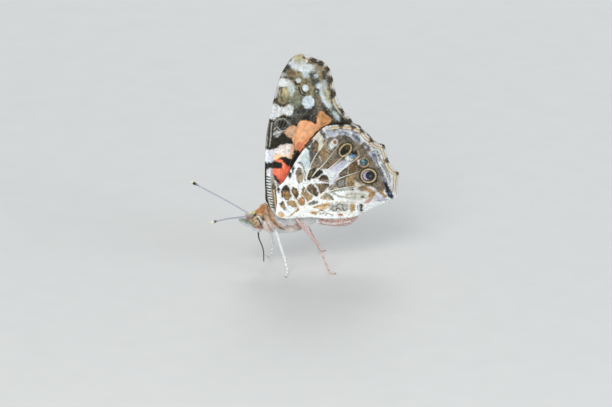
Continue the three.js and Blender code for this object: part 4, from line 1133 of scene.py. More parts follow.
class Shape:
    """A mesh in the making: points in millimetres, triangles, colours and places on the coat's map."""

    def __init__(self) -> None:
        """Starts empty."""
        self.points: list[Points] = []
        self.faces: list[Points] = []
        self.colours: list[Points] = []
        self.charts: list[Points] = []
        self.count = 0

    def add(self, points: Points, faces: Points, colours: Points, charts: Optional[Points] = None) -> None:
        """Adds one part.

        Args:
            points: rows of x, y and z in millimetres.
            faces: rows of three point numbers within this part, turning left seen from outside.
            colours: one row for each point, or one for all.
            charts: the points' places on the coat's map, if it has one.
        """
        self.points.append(points)
        self.faces.append(np.asarray(faces, int) + self.count)
        self.colours.append(np.broadcast_to(colours, points.shape))
        self.charts.append(np.zeros((len(points), 2)) if charts is None else charts)
        self.count += len(points)

    def piece(self, name: str, finish: bpy.types.Material, mapped: bool = False, side: Side = Side.RIGHT,
              step: Triple = (0.0, 0.0, 0.0)) -> bpy.types.Object:
        """Makes the Blender object and reports it.

        Args:
            name: the piece's name.
            finish: its material.
            mapped: whether it carries the coat's map.
            side: the left side turns a right-hand shape over in the middle plane.
            step: how far it is moved, in millimetres.

        Returns:
            The new object, riding on the body.
        """
        points = np.vstack(self.points)
        faces = np.vstack(self.faces)
        if side is Side.LEFT:
            points = points * (1, -1, 1)
            faces = faces[:, ::-1]
        mesh = bpy.data.meshes.new(name)
        mesh.vertices.add(len(points))
        mesh.vertices.foreach_set("co", ((points + SHIFT + step) * MM).astype(np.float32).ravel())
        mesh.loops.add(faces.size)
        mesh.loops.foreach_set("vertex_index", faces.ravel().astype(np.int32))
        mesh.polygons.add(len(faces))
        mesh.polygons.foreach_set("loop_start", np.arange(0, faces.size, 3, dtype=np.int32))
        mesh.polygons.foreach_set("use_smooth", np.full(len(faces), True))
        mesh.update(calc_edges=True)
        mesh.validate()
        paint = mesh.attributes.new("paint", "FLOAT_COLOR", "POINT")
        colours = np.hstack([np.vstack(self.colours), np.ones((len(points), 1))])
        paint.data.foreach_set("color", colours.astype(np.float32).ravel())
        if mapped:
            chart = mesh.uv_layers.new(name="OFBake")
            chart.data.foreach_set("uv", np.vstack(self.charts)[faces.ravel()].astype(np.float32).ravel())
        mesh.materials.append(finish)
        piece = bpy.data.objects.new(name, mesh)
        bpy.context.scene.collection.objects.link(piece)
        log.info("%s: %d triangles", name, len(mesh.polygons))
        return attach(piece, "root")


def halved(first: Points, second: Points, third: Points, fourth: Points) -> Points:
    """Cuts four-cornered faces in two, given the point numbers of their corners in turn."""
    return np.vstack([np.stack([first, second, third], 1), np.stack([first, third, fourth], 1)])


def skin_over(rings: int, sides: int) -> Points:
    """Closes a tube of rings, whose two end hubs are its last two points.

    Args:
        rings: how many rings there are.
        sides: how many points each ring has.

    Returns:
        Rows of three point numbers.
    """
    ring, side = np.meshgrid(np.arange(rings - 1), np.arange(sides), indexing="ij")
    start = (ring * sides + side).ravel()
    turn = (ring * sides + (side + 1) % sides).ravel()
    walls = halved(start, turn, turn + sides, start + sides)
    around = np.arange(sides)
    first, last = rings * sides, rings * sides + 1
    top = (rings - 1) * sides
    head = np.stack([np.full(sides, first), (around + 1) % sides, around], 1)
    tail = np.stack([np.full(sides, last), top + around, top + (around + 1) % sides], 1)
    return np.vstack([walls, head, tail])


@dataclass
class Tube:
    """A round tube along a path, with a direction across it that turns as little as it can."""

    path: Points
    radii: Points
    sides: int
    up: Triple = (0.0, 0.0, 1.0)

    def frames(self) -> tuple[Points, Points, Points]:
        """Finds how the tube lies at each point of its path.

        Returns:
            The directions along it, across it and square to both.
        """
        along = unit(np.gradient(self.path, axis=0))
        across = np.zeros_like(along)
        guide = np.array(self.up, float)
        for index, way in enumerate(along):
            guide = guide - way * (guide @ way)
            guide = guide / np.linalg.norm(guide)
            across[index] = guide
        return along, across, np.cross(along, across)

    def points(self) -> Points:
        """Places the tube's points.

        Returns:
            The rings' points and then the two end hubs.
        """
        _, across, out = self.frames()
        turn = np.linspace(0, 2 * np.pi, self.sides, endpoint=False)
        ring = across[:, None] * np.cos(turn)[None, :, None] + out[:, None] * np.sin(turn)[None, :, None]
        wall = self.path[:, None] + ring * np.asarray(self.radii)[:, None, None]
        return np.vstack([wall.reshape(-1, 3), self.path[0], self.path[-1]])

    def add_to(self, shape: Shape, colour: Callable[[Points], Points]) -> None:
        """Adds the tube to a shape, coloured by a function of its points."""
        points = self.points()
        shape.add(points, skin_over(len(self.path), self.sides), colour(points))

    def surface(self, along: Points, turn: Points) -> tuple[Points, Points, Points]:
        """Finds places on the tube.

        Args:
            along: how far along it, from 0 to 1.
            turn: the angle round it from its across direction, in radians.

        Returns:
            The points, the directions out of the skin and the directions along it.
        """
        ways, across, out = self.frames()
        place = along * (len(self.path) - 1)
        low = np.minimum(place.astype(int), len(self.path) - 2)
        share = (place - low)[:, None]

        def read(rows: Points) -> Points:
            """Reads rows between the path's points."""
            return blend(rows[low], rows[low + 1], share)

        normal = unit(read(across) * np.cos(turn)[:, None] + read(out) * np.sin(turn)[:, None])
        radius = read(np.asarray(self.radii, float)[:, None])
        return read(self.path) + normal * radius, normal, unit(read(ways))


@dataclass
class Tufts:
    """Many thin curved tufts or flat scales, each a closed sliver that tapers to its tip."""

    roots: Points
    along: Points
    out: Points
    length: Points
    width: Points
    lift: Points
    curl: Points
    charts: Points
    rings: int = 3
    flat: float = 0.45
    chart_size: float = 0.0012

    def add_to(self, shape: Shape, colours: Points, root_shade: float = 0.82,
               tip_shade: float = 1.1) -> None:
        """Adds the tufts to a shape.

        Args:
            shape: what they join.
            colours: one row for each tuft.
            root_shade: how light the root is beside the middle: a darker root is painted shade deep among the
                hairs.
            tip_shade: how light the tip is: a lighter tip is painted light.
        """
        count = len(self.roots)
        rise = np.sin(self.lift)[:, None]
        start = self.along * np.cos(self.lift)[:, None] + self.out * rise
        across = unit(np.cross(self.out, start))
        shares = np.linspace(0, 1, self.rings + 1)
        points, shade, charts = [], [], []
        for ring, share in enumerate(shares):
            middle = (self.roots + start * (self.length * share)[:, None]
                      - self.out * (self.curl * self.length * share**2)[:, None])
            # Painted shade at the root and painted light at the tip
            tone = blend(root_shade, tip_shade, share)
            drift = self.charts + self.chart_size * share
            if ring == self.rings:
                points.append(middle[:, None])
                shade.append(np.full((count, 1), tone))
                charts.append(drift[:, None])
                continue
            half = (self.width * (1 - share) ** 0.6 / 2)[:, None]
            slope = start - self.out * (2 * self.curl * share)[:, None]
            lid = unit(np.cross(slope, across))
            points.append(np.stack([middle - across * half, middle + across * half,
                                    middle + lid * half * self.flat * 2], 1))
            shade.append(np.full((count, 3), tone))
            charts.append(np.stack([drift, drift + (self.chart_size, 0), drift + (0, self.chart_size)], 1))
        points, shade, charts = (np.concatenate(rows, 1) for rows in (points, shade, charts))
        each = points.shape[1]
        faces = [(0, 2, 1)]
        for ring in range(self.rings - 1):
            for corner in range(3):
                first, second = ring * 3 + corner, ring * 3 + (corner + 1) % 3
                faces += [(first, second, second + 3), (first, second + 3, first + 3)]
        last = (self.rings - 1) * 3
        faces += [(last + corner, last + (corner + 1) % 3, each - 1) for corner in range(3)]
        offsets = np.arange(count)[:, None, None] * each
        triangles = (np.array(faces)[None] + offsets).reshape(-1, 3)
        tinted = np.clip(colours[:, None] * shade[..., None], 0, 1).reshape(-1, 3)
        shape.add(points.reshape(-1, 3), triangles, tinted, charts.reshape(-1, 2))


class Wire:
    """A shader socket that takes part in sums as a value does."""

    def __init__(self, bench: "Bench", socket: bpy.types.NodeSocket) -> None:
        """Wraps an output socket of one of the bench's nodes."""
        self.bench = bench
        self.socket = socket

    def joined(self, operation: str, first: object, second: object = 0.0) -> "Wire":
        """Adds a Math node."""
        return self.bench.node("ShaderNodeMath", {"operation": operation}, {0: first, 1: second})

    def __add__(self, other: object) -> "Wire":
        """Adds a value."""
        return self.joined("ADD", self, other)

    __radd__ = __add__

    def __sub__(self, other: object) -> "Wire":
        """Takes a value away."""
        return self.joined("SUBTRACT", self, other)

    def __rsub__(self, other: object) -> "Wire":
        """Takes this away from a value."""
        return self.joined("SUBTRACT", other, self)

    def __mul__(self, other: object) -> "Wire":
        """Multiplies by a value."""
        return self.joined("MULTIPLY", self, other)

    __rmul__ = __mul__


class Bench:
    """Builds one material's nodes."""

    def __init__(self, name: str) -> None:
        """Starts a material with nothing but its output and shader.

        Args:
            name: the material's name.
        """
        self.material = bpy.data.materials.new(name)
        self.material.use_nodes = True
        self.tree = self.material.node_tree
        self.tree.nodes.clear()
        self.shader = self.tree.nodes.new("ShaderNodeBsdfPrincipled")
        output = self.tree.nodes.new("ShaderNodeOutputMaterial")
        self.tree.links.new(self.shader.outputs[0], output.inputs[0])

    def feed(self, node: bpy.types.Node, sockets: dict) -> None:
        """Sets or links a node's inputs.

        Args:
            node: the node.
            sockets: values or wires by the input's name or number.
        """
        for key, value in sockets.items():
            if isinstance(value, Wire):
                self.tree.links.new(value.socket, node.inputs[key])
            else:
                node.inputs[key].default_value = value

    def node(self, kind: str, settings: dict, sockets: dict, output: Union[int, str] = 0) -> Wire:
        """Adds one node.

        Args:
            kind: the node's type.
            settings: its own properties, with a ramp's stops under "stops".
            sockets: values or wires for its inputs.
            output: which output to return.

        Returns:
            The output as a wire.
        """
        node = self.tree.nodes.new(kind)
        for key, value in settings.items():
            if key == "stops":
                ramp = node.color_ramp.elements
                while len(ramp) < len(value):
                    ramp.new(0.5)
                for stop, (place, colour) in zip(ramp, value):
                    stop.position = place
                    stop.color = colour
            else:
                setattr(node, key, value)
        self.feed(node, sockets)
        return Wire(self, node.outputs[output])

    def paint(self) -> Wire:
        """Reads the colours laid on the mesh."""
        return self.node("ShaderNodeAttribute", {"attribute_name": "paint"}, {}, "Color")

    def place(self) -> Wire:
        """Reads the place on the object, in metres."""
        return self.node("ShaderNodeTexCoord", {}, {}, "Object")

    def noise(self, pitch: float, detail: float = 2.0) -> Wire:
        """Gives soft noise from 0 to 1 with blotches of so many millimetres."""
        sockets = {"Vector": self.place(), "Scale": 1 / (pitch * MM), "Detail": detail}
        return self.node("ShaderNodeTexNoise", {}, sockets)

    def rows(self, pitch: float, distortion: float, more: dict) -> Wire:
        """Gives level rows one above the other.

        Args:
            pitch: how far apart they are, in millimetres.
            distortion: how much they wander.
            more: the texture's other inputs.

        Returns:
            A value from 0 to 1.
        """
        scale = 2 * math.pi / (20 * pitch * MM)
        sockets = {"Vector": self.place(), "Scale": scale, "Distortion": distortion, **more}
        return self.node("ShaderNodeTexWave", {"bands_direction": "Z"}, sockets)

    def times(self, colour: object, value: object) -> Wire:
        """Multiplies a colour by a value or another colour."""
        settings = {"data_type": "RGBA", "blend_type": "MULTIPLY"}
        return self.node("ShaderNodeMix", settings, {"Factor": 1.0, 6: colour, 7: value}, 2)

    def mix(self, share: object, first: object, second: object) -> Wire:
        """Blends two colours."""
        return self.node("ShaderNodeMix", {"data_type": "RGBA"}, {"Factor": share, 6: first, 7: second}, 2)

    def bump(self, height: Wire, depth: float, strength: float) -> Wire:
        """Turns a height from 0 to 1 into relief so many millimetres deep."""
        sockets = {"Height": height, "Distance": depth * MM, "Strength": strength}
        return self.node("ShaderNodeBump", {}, sockets)

    def finish(self, sockets: dict) -> bpy.types.Material:
        """Sets the shader's sockets and returns the material."""
        self.feed(self.shader, sockets)
        return self.material


def opaque(tint: Tint) -> tuple[float, float, float, float]:
    """Returns a tint as a socket's colour."""
    return (*linear(tint), 1.0)


@dataclass(frozen=True)
class WingFinish:
    """Dull scales in fine rows, each a little lighter or darker than the next."""

    name: str
    row_pitch: float = 0.11
    grain_pitch: float = 0.09
    relief: float = 0.02
    roughness: float = 0.68

    def make(self) -> bpy.types.Material:
        """Builds the material.

        Returns:
            The material, for pieces whose mesh carries its colours.
        """
        bench = Bench(self.name)
        grain = bench.noise(self.grain_pitch, 3.0)
        rows = bench.rows(self.row_pitch, 2.5, {"Detail": 2.0, "Detail Scale": 1.4})
        scales = grain * 0.65 + rows * 0.35
        return bench.finish({
            "Base Color": bench.times(bench.paint(), scales * 0.5 + 0.76),
            "Roughness": self.roughness - 0.12 * grain,
            "Normal": bench.bump(scales, self.relief, 0.8),
            "Specular IOR Level": 0.3,
        })


@dataclass(frozen=True)
class HairFinish:
    """Silky hair that carries its own colours."""

    name: str
    roughness: float = 0.5
    strand: float = 0.05

    def make(self) -> bpy.types.Material:
        """Builds the material.

        Returns:
            The material, for pieces whose mesh carries its colours.
        """
        bench = Bench(self.name)
        strand = bench.noise(self.strand, 2.0)
        return bench.finish({
            "Base Color": bench.times(bench.paint(), strand * 0.5 + 0.76),
            "Roughness": self.roughness + 0.15 * strand,
            "Normal": bench.bump(strand, 0.01, 0.5),
            "Specular IOR Level": 0.35,
        })


@dataclass(frozen=True)
class ScaleFinish:
    """Skin and limbs under a close layer of tiny scales."""

    name: str
    scale_pitch: float = 0.07
    roughness: float = 0.6

    def make(self) -> bpy.types.Material:
        """Builds the material.

        Returns:
            The material, for pieces whose mesh carries its colours.
        """
        bench = Bench(self.name)
        cells = bench.node("ShaderNodeTexVoronoi", {}, {
            "Vector": bench.place(), "Scale": 1 / (self.scale_pitch * MM)}, "Distance")
        shade = bench.noise(self.scale_pitch * 2, 3.0)
        return bench.finish({
            "Base Color": bench.times(bench.paint(), shade * 0.45 + 0.8 - cells * 0.12),
            "Roughness": self.roughness - 0.1 * shade,
            "Normal": bench.bump(1 - cells, 0.02, 0.7),
            "Specular IOR Level": 0.35,
        })


@dataclass(frozen=True)
class EyeFinish:
    """A compound eye: glossy, mottled, with hexagonal facets."""

    name: str = "compound_eye"
    facet: float = 0.05
    mottle: float = 0.42

    def make(self) -> bpy.types.Material:
        """Builds the material.

        Returns:
            The material, for pieces whose mesh carries its colours.
        """
        bench = Bench(self.name)
        facets = bench.node("ShaderNodeTexVoronoi", {"feature": "DISTANCE_TO_EDGE"}, {
            "Vector": bench.place(), "Scale": 1 / (self.facet * MM), "Randomness": 0.25}, "Distance")
        mottle = bench.noise(self.mottle, 2.0)
        stops = [(0.36, opaque(Tint.UMBER)), (0.46, opaque(Tint.HAZEL)), (0.54, opaque(Tint.KHAKI)),
                 (0.66, opaque(Tint.FAWN))]
        tone = bench.node("ShaderNodeValToRGB", {"stops": stops}, {0: mottle})
        return bench.finish({
            "Base Color": bench.times(bench.times(bench.paint(), tone), facets * 0.9 + 0.75),
            "Roughness": 0.3 - 0.1 * mottle,
            "Normal": bench.bump(facets, 0.012, 0.6),
            "Coat Weight": 0.35,
        })


@dataclass(frozen=True)
class TongueFinish:
    """The proboscis: dark, hard and finely ringed."""

    name: str = "tongue"
    ring: float = 0.09

    def make(self) -> bpy.types.Material:
        """Builds the material.

        Returns:
            The material, for pieces whose mesh carries its colours.
        """
        bench = Bench(self.name)
        rings = bench.rows(self.ring, 0.6, {})
        shade = bench.noise(0.3, 2.0)
        return bench.finish({
            "Base Color": bench.times(bench.paint(), shade * 0.6 + 0.7),
            "Roughness": 0.32 + 0.15 * shade,
            "Normal": bench.bump(rings, 0.02, 0.6),
            "Coat Weight": 0.2,
        })


@dataclass(frozen=True)
class FloorFinish:
    """Plain pale card."""

    name: str = "pale_floor"

    def make(self) -> bpy.types.Material:
        """Builds the material.

        Returns:
            The material, for pieces whose mesh carries its colours.
        """
        bench = Bench(self.name)
        tone = bench.noise(6.0, 3.0)
        pale, paler = (0.62, 0.63, 0.62, 1.0), (0.66, 0.67, 0.66, 1.0)
        return bench.finish({"Base Color": bench.mix(tone, pale, paler), "Roughness": 0.85})


# How far the wings lie from the middle plane, in millimetres: folded together, and round the body
FOREWING_FOLD = 0.45
FOREWING_ROOT_SIDE = 2.73
HINDWING_OVERLAP = 1.6
HINDWING_FOLD = 0.45
HINDWING_FRONT_SIDE = 3.91
HINDWING_REAR_SIDE = 2.44
# The forewing's rear edge, which the hindwing lies over: a point on it and its slope
REAR_EDGE_AT = (-1.0, 11.5)
REAR_EDGE_SLOPE = math.radians(41)
# Heights below which the forewing spreads round the body, with their sign turned
FOREWING_SPREAD = (-16, -11)
# How far past the rear edge the hindwing sinks into the fold
HINDWING_SINKS = (1, 6)
# The hindwing over the body: its top and depth from front to rear, the places along the body between
# which they change, where the drape ends, and where it narrows
DRAPE_TOP = (16, 13.6)
DRAPE_DEPTH = (5, 3)
DRAPE_CHANGES = (-1, 6)
DRAPE_ENDS = (12, 17.5)
DRAPE_NARROWS = (-1.5, 4.6)


def forewing_side(x: Points, z: Points) -> Points:
    """Gives the forewing's distance from the middle plane: flat, and spread where it meets the body."""
    return blend(FOREWING_FOLD, FOREWING_ROOT_SIDE, ease(-z, *FOREWING_SPREAD)) + 0 * x


def hindwing_side(x: Points, z: Points) -> Points:
    """Gives the hindwing's distance from the middle plane: over the forewing, behind it, round the body.

    Args:
        x: places along the body, in millimetres.
        z: heights above the floor.

    Returns:
        The distances.
    """
    past = ((x - REAR_EDGE_AT[0]) * math.sin(REAR_EDGE_SLOPE)
            - (z - REAR_EDGE_AT[1]) * math.cos(REAR_EDGE_SLOPE))
    sheet = blend(HINDWING_OVERLAP, HINDWING_FOLD, ease(past, *HINDWING_SINKS))
    along = ease(x, *DRAPE_CHANGES)
    top, depth = blend(*DRAPE_TOP, along), blend(*DRAPE_DEPTH, along)
    drape = ease((top - z) / depth, 0, 1) * (1 - ease(x, *DRAPE_ENDS))
    return blend(sheet, blend(HINDWING_FRONT_SIDE, HINDWING_REAR_SIDE, ease(x, *DRAPE_NARROWS)), drape)


@dataclass
class Wing:
    """One pair of wings: a thin membrane with soft pleats, raised veins and a fringe of scales.

    The costa runs from the root to the apex and the margin from vein end to vein end, each with how far
    the edge bows in after it. Both are places in the wing's own plane, in millimetres, as the veins are.
    """

    name: str
    costa: Path
    margin: tuple[Triple, ...]
    inner: Path
    veins: tuple[Path, ...]
    vein_tint: Tint
    vein_cover: float
    vein_radius: float
    lateral: Callable[[Points, Points], Points]
    ground: Tint
    marks: tuple[Mark, ...]
    upper_ground: Tint
    upper_marks: tuple[Mark, ...]
    bands: tuple[Band, ...]
    painter: Painter
    seed: int
    thickness: float = 0.14
    inset: float = 0.38
    pleat: float = 0.07
    mesh_step: float = 0.12
    upper_step: float = 0.3
    vein_sides: int = 6
    map_margin: float = 0.005
    margin_taper: int = 12
    margin_smoothing: int = 9
    band_pitches: Pair = (0.35, 1.3)
    band_wander: Pair = (0.14, 0.16)
    band_tone: float = 0.3
    vanes_each: int = 3
    vane_reach: Pair = (0.85, 1.06)
    vane_width: Pair = (0.1, 0.16)
    vane_lift: Pair = (-0.08, 0.08)
    vane_dark: Pair = (0.45, 0.8)
    right_step: Triple = (0.19, 0.0, -0.32)
    upper_bands: tuple[Band, ...] = (Band(Tint.WHITE, -1, 0.9, None, 0.4),)

    def edge(self, step: float) -> tuple[Points, Points, Points]:
        """Draws the wing's outline.

        Args:
            step: how far apart its points lie.

        Returns:
            The outer edge of the fringe, the step in from there to the membrane, and the fringe's
            distance in millimetres from the nearest vein end, or OFF_MARGIN where there is no fringe.
        """
        costa = curve_through(self.costa, step)[:-1]
        inner = curve_through(self.inner, step)[:-1]
        rows, inward, from_vein = [], [], []
        for (x, z, bow), (next_x, next_z, _) in zip(self.margin, self.margin[1:]):
            start = np.array((x, z))
            along = np.array((next_x, next_z)) - start
            length = np.hypot(*along)
            into = np.array((along[1], -along[0])) / length
            count = max(4, round(length / step))
            share = np.arange(count)[:, None] / count
            rows.append(start + along * share + into * bow * np.sin(np.pi * share))
            inward.append(np.tile(into, (count, 1)))
            from_vein.append((np.minimum(share, 1 - share) * length)[:, 0])
        margin = np.vstack(rows)
        total = len(margin)
        rank = np.arange(total)
        taper = ease(rank, 0, self.margin_taper) * ease(total - rank, 0, self.margin_taper)
        into = unit(curve_smooth(np.vstack(inward), self.margin_smoothing)) * (self.inset * taper)[:, None]
        still = [np.zeros_like(costa), into, np.zeros_like(inner)]
        before, after = np.full(len(costa), OFF_MARGIN), np.full(len(inner), OFF_MARGIN)
        distance = np.concatenate([before, *from_vein, after])
        return np.vstack([costa, margin, inner]), np.vstack(still), distance

    def lie(self, places: Points) -> Points:
        """Finds the middle of the membrane, pleated between its veins.

        Args:
            places: rows of x and z.

        Returns:
            Each place's distance from the middle plane.
        """
        gap = np.full(len(places), np.inf)
        for vein in self.veins:
            path = curve_through(vein, 0.8)
            gap = np.minimum(gap, distance_to(places, path, False)[0])
        return self.lateral(places[:, 0], places[:, 1]) + self.pleat * (ease(gap, 0, 1.6) - 0.5)

    def sheet(self, edge: Points, step: float) -> tuple[Points, Points]:
        """Fills an outline with even triangles.

        Args:
            edge: the outline.
            step: how far apart the points inside lie.

        Returns:
            The points, with the outline's first, and the triangles.
        """
        low, high = edge.min(0), edge.max(0)
        rows = np.arange(low[1], high[1], step * math.sqrt(0.75))
        columns = np.arange(low[0], high[0], step)
        x, z = np.meshgrid(columns, rows)
        x = x + (np.arange(len(rows)) % 2 * step / 2)[:, None]
        grid = np.stack([x.ravel(), z.ravel()], 1)
        grid = grid[is_inside(grid, edge)]
        grid = grid[distance_to(grid, edge, True)[0] > self.mesh_step * 0.55]
        every = np.vstack([edge, grid])
        count = len(edge)
        rim = [(index, (index + 1) % count) for index in range(count)]
        result = delaunay_2d_cdt([Vector(row) for row in every], rim, [], 0, 1e-6, True)
        made = np.array(result[0])
        origin = np.array([source[0] if source else -1 for source in result[3]])
        order = np.argsort(origin, kind="stable")
        back = np.empty(len(order), int)
        back[order] = np.arange(len(order))
        faces = back[np.array(result[2])]
        made = made[order]
        return made, faces[is_inside(made[faces].mean(1), edge)]

    def build(self, finish: bpy.types.Material, slot: str) -> None:
        """Makes both wings of the pair.

        Args:
            finish: the scales' material.
            slot: the record's material slot; not used.
        """
        fringe_edge, into, from_vein = self.edge(self.mesh_step)
        edge = fringe_edge + into
        shape = Shape()
        lower, lower_faces = self.sheet(edge, self.mesh_step)
        upper, upper_faces = self.sheet(edge, self.upper_step)
        lower_lie = self.lie(lower)
        upper_lie = self.lie(upper)
        half = self.thickness / 2
        outer = np.stack([lower[:, 0], lower_lie + half, lower[:, 1]], 1)
        inner = np.stack([upper[:, 0], upper_lie - half, upper[:, 1]], 1)
        low, high = fringe_edge.min(0), fringe_edge.max(0)
        span = (high - low).max() * 2.05
        chart = (lower - low) / span + self.map_margin
        upper_chart = (upper - low) / span + (0.5, self.map_margin)
        below = self.painter.paint(outer, self.ground, self.marks)
        below = self.banded(outer, below, fringe_edge, from_vein, self.bands)
        above = self.painter.paint(inner, self.upper_ground, self.upper_marks)
        above = self.banded(inner, above, fringe_edge, from_vein, self.upper_bands)
        count = len(outer)
        rim = np.arange(len(edge))
        ahead = np.roll(rim, -1)
        walls = halved(rim, ahead, ahead + count, rim + count)
        outer_faces = turned_out(outer, lower_faces, 1)
        inner_faces = turned_out(inner, upper_faces, -1) + count
        walls = walls if rim_turns_left(edge) else walls[:, ::-1]
        shape.add(np.vstack([outer, inner]), np.vstack([outer_faces, inner_faces, walls]),
                  np.vstack([below, above]), np.vstack([chart, upper_chart]))
        self.add_veins(shape, low, span)
        self.add_fringe(shape, fringe_edge, into, from_vein, low, span)
        for side in Side:
            step = self.right_step if side is Side.RIGHT else (0.0, 0.0, 0.0)
            piece = shape.piece(f"{self.name}_{side.word}_scales", finish, mapped=True, side=side, step=step)
            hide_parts(f"{self.name}_{side.word}")

    def banded(self, points: Points, colours: Points, edge: Points, from_vein: Points,
               bands: Sequence[Band]) -> Points:
        """Lays the margin's bands over colours.

        Args:
            points: rows of x, y and z.
            colours: their colours so far.
            edge: the fringe's outer edge.
            from_vein: each of its points' distance from a vein end, or OFF_MARGIN.
            bands: what is laid along it, from the edge inwards.

        Returns:
            The colours with the bands.
        """
        margin = np.flatnonzero(from_vein < OFF_MARGIN)
        places = points[:, (0, 2)]
        depth, along = distance_to(places, edge[margin], False)
        place = along * (len(margin) - 1)
        gap = np.interp(place, np.arange(len(margin)), from_vein[margin])
        ends = ease(place, 0, 10) * ease(len(margin) - 1 - place, 0, 10)
        grain = self.painter.grain
        layers = (Layer.BAND_DEPTH, Layer.BAND_WAVE)
        for layer, pitch, wander in zip(layers, self.band_pitches, self.band_wander):
            depth = depth + grain.at(places, pitch, layer) * wander
        gap = gap + grain.at(places, 0.4, Layer.VEIN_GAP) * 0.3
        tone = 1 + grain.at(places, 0.22, Layer.BAND_TONE) * self.band_tone
        for band in bands:
            cover = ease(depth, band.start - band.soft, band.start + band.soft)
            cover = cover * (1 - ease(depth, band.stop - band.soft, band.stop + band.soft)) * ends
            tint = np.tile(linear(band.tint), (len(points), 1))
            if band.at_veins:
                dark = 1 - ease(gap, band.reach * 0.7, band.reach * 1.4)
                tint = blend(tint, linear(band.at_veins), dark[:, None])
            colours = blend(colours, tint * tone[:, None], cover[:, None])
        return colours

    def add_veins(self, shape: Shape, low: Points, span: float) -> None:
        """Adds the veins on both faces, each a tube sunk halfway in.

        Args:
            shape: what they join.
            low: the outline's lowest x and z.
            span: how much of the wing's plane the map's width takes.
        """
        faces = ((1, self.ground, self.marks), (-1, self.upper_ground, self.upper_marks))
        sides = self.vein_sides
        for vein in self.veins:
            path = curve_through(vein, 0.2)
            lie = self.lie(path)
            rank = np.arange(len(path))
            radii = np.linspace(self.vein_radius, self.vein_radius * 0.5, len(path))
            radii = radii * blend(0.3, 1.0, ease(rank, 0, 4) * ease(len(path) - 1 - rank, 0, 6))
            for way, ground, marks in faces:
                centre = np.stack([path[:, 0], lie + way * self.thickness * 0.4, path[:, 1]], 1)
                points = Tube(centre, radii, sides, (0.0, 1.0, 0.0)).points()
                colours = self.painter.paint(points, ground, marks)
                if way > 0:
                    share = np.append(np.repeat(np.linspace(1, 0.45, len(path)), sides), (1, 0.45))
                    colours = blend(colours, linear(self.vein_tint), (share * self.vein_cover)[:, None])
                corner = (self.map_margin if way > 0 else 0.5, self.map_margin)
                chart = (points[:, (0, 2)] - low) / span + corner
                shape.add(points, skin_over(len(path), sides), colours, chart)

    def add_fringe(self, shape: Shape, edge: Points, into: Points, from_vein: Points, low: Points,
                   span: float) -> None:
        """Adds the fringe: thin vanes out from the margin, pale between the veins and dark at their ends.

        Args:
            shape: what they join.
            edge: the fringe's outer edge.
            into: the step in from there to the membrane.
            from_vein: the edge's distance from a vein end.
            low: the outline's lowest x and z.
            span: how much of the wing's plane the map's width takes.
        """
        draw = np.random.default_rng(self.seed)
        on_margin = np.flatnonzero(np.hypot(*into.T) > self.inset * 0.2)
        picks = np.repeat(on_margin, self.vanes_each)
        jitter = draw.random((len(picks), 1)) - 0.5
        ahead = np.roll(edge, -1, 0)[picks] - edge[picks]
        tips = edge[picks] + ahead * jitter
        bases = tips + into[picks] * 1.25
        reach = tips - bases
        length = np.hypot(*reach.T) * draw.uniform(*self.vane_reach, len(picks))
        stray = draw.uniform(-0.35, 0.35, len(picks)) * self.thickness
        lie = self.lateral(bases[:, 0], bases[:, 1]) + stray
        roots = np.stack([bases[:, 0], lie, bases[:, 1]], 1)
        along = unit(np.stack([reach[:, 0], np.zeros(len(picks)), reach[:, 1]], 1))
        out = np.tile((0.0, 1.0, 0.0), (len(picks), 1))
        dark = 1 - ease(from_vein[picks] + draw.uniform(-0.25, 0.25, len(picks)), *self.vane_dark)
        colours = blend(linear(Tint.CHALK), linear(Tint.UMBER), dark[:, None])
        chart = (bases - low) / span + self.map_margin
        tufts = Tufts(roots, along, out, length, draw.uniform(*self.vane_width, len(picks)),
                      draw.uniform(*self.vane_lift, len(picks)), np.zeros(len(picks)), chart, rings=2,
                      flat=0.25)
        tufts.add_to(shape, colours, root_shade=0.85, tip_shade=1.0)


def curve_smooth(rows: Points, reach: int) -> Points:
    """Averages each row with its neighbours.

    Args:
        rows: the rows.
        reach: how many neighbours on either side count.

    Returns:
        As many rows, smoother.
    """
    kernel = np.ones(2 * reach + 1) / (2 * reach + 1)
    padded = np.vstack([np.repeat(rows[:1], reach, 0), rows, np.repeat(rows[-1:], reach, 0)])
    return np.stack([np.convolve(column, kernel, "valid") for column in padded.T], 1)


def rim_turns_left(edge: Points) -> bool:
    """Tells which way an outline turns.

    Args:
        edge: its rows of x and z.

    Returns:
        Whether it turns left seen from the right side of the butterfly.
    """
    following = np.roll(edge, -1, 0)
    area = (edge[:, 0] * following[:, 1] - following[:, 0] * edge[:, 1]).sum()
    return bool(area > 0)


def turned_out(points: Points, faces: Points, way: int) -> Points:
    """Turns triangles so that they face to one side.

    Args:
        points: rows of x, y and z.
        faces: rows of three point numbers.
        way: 1 to face towards +y, -1 towards -y.

    Returns:
        The rows, with their order turned where needed.
    """
    first, second, third = (points[faces[:, corner]] for corner in range(3))
    facing = np.cross(second - first, third - first)[:, 1] * way
    return np.where((facing > 0)[:, None], faces, faces[:, ::-1])


@dataclass(frozen=True)
class CoatZone:
    """One stretch of the coat: where it grows, how many tufts it has and how they lie."""

    piece: str
    slot: str
    start: float
    stop: float
    count: int
    length: Pair
    width: Pair
    lift: Pair
    sag: float
    curl: float
    rings: int = 3
    parting: float = -9.0
    flat: float = 0.45
    turns: Pair = (0.0, 360.0)


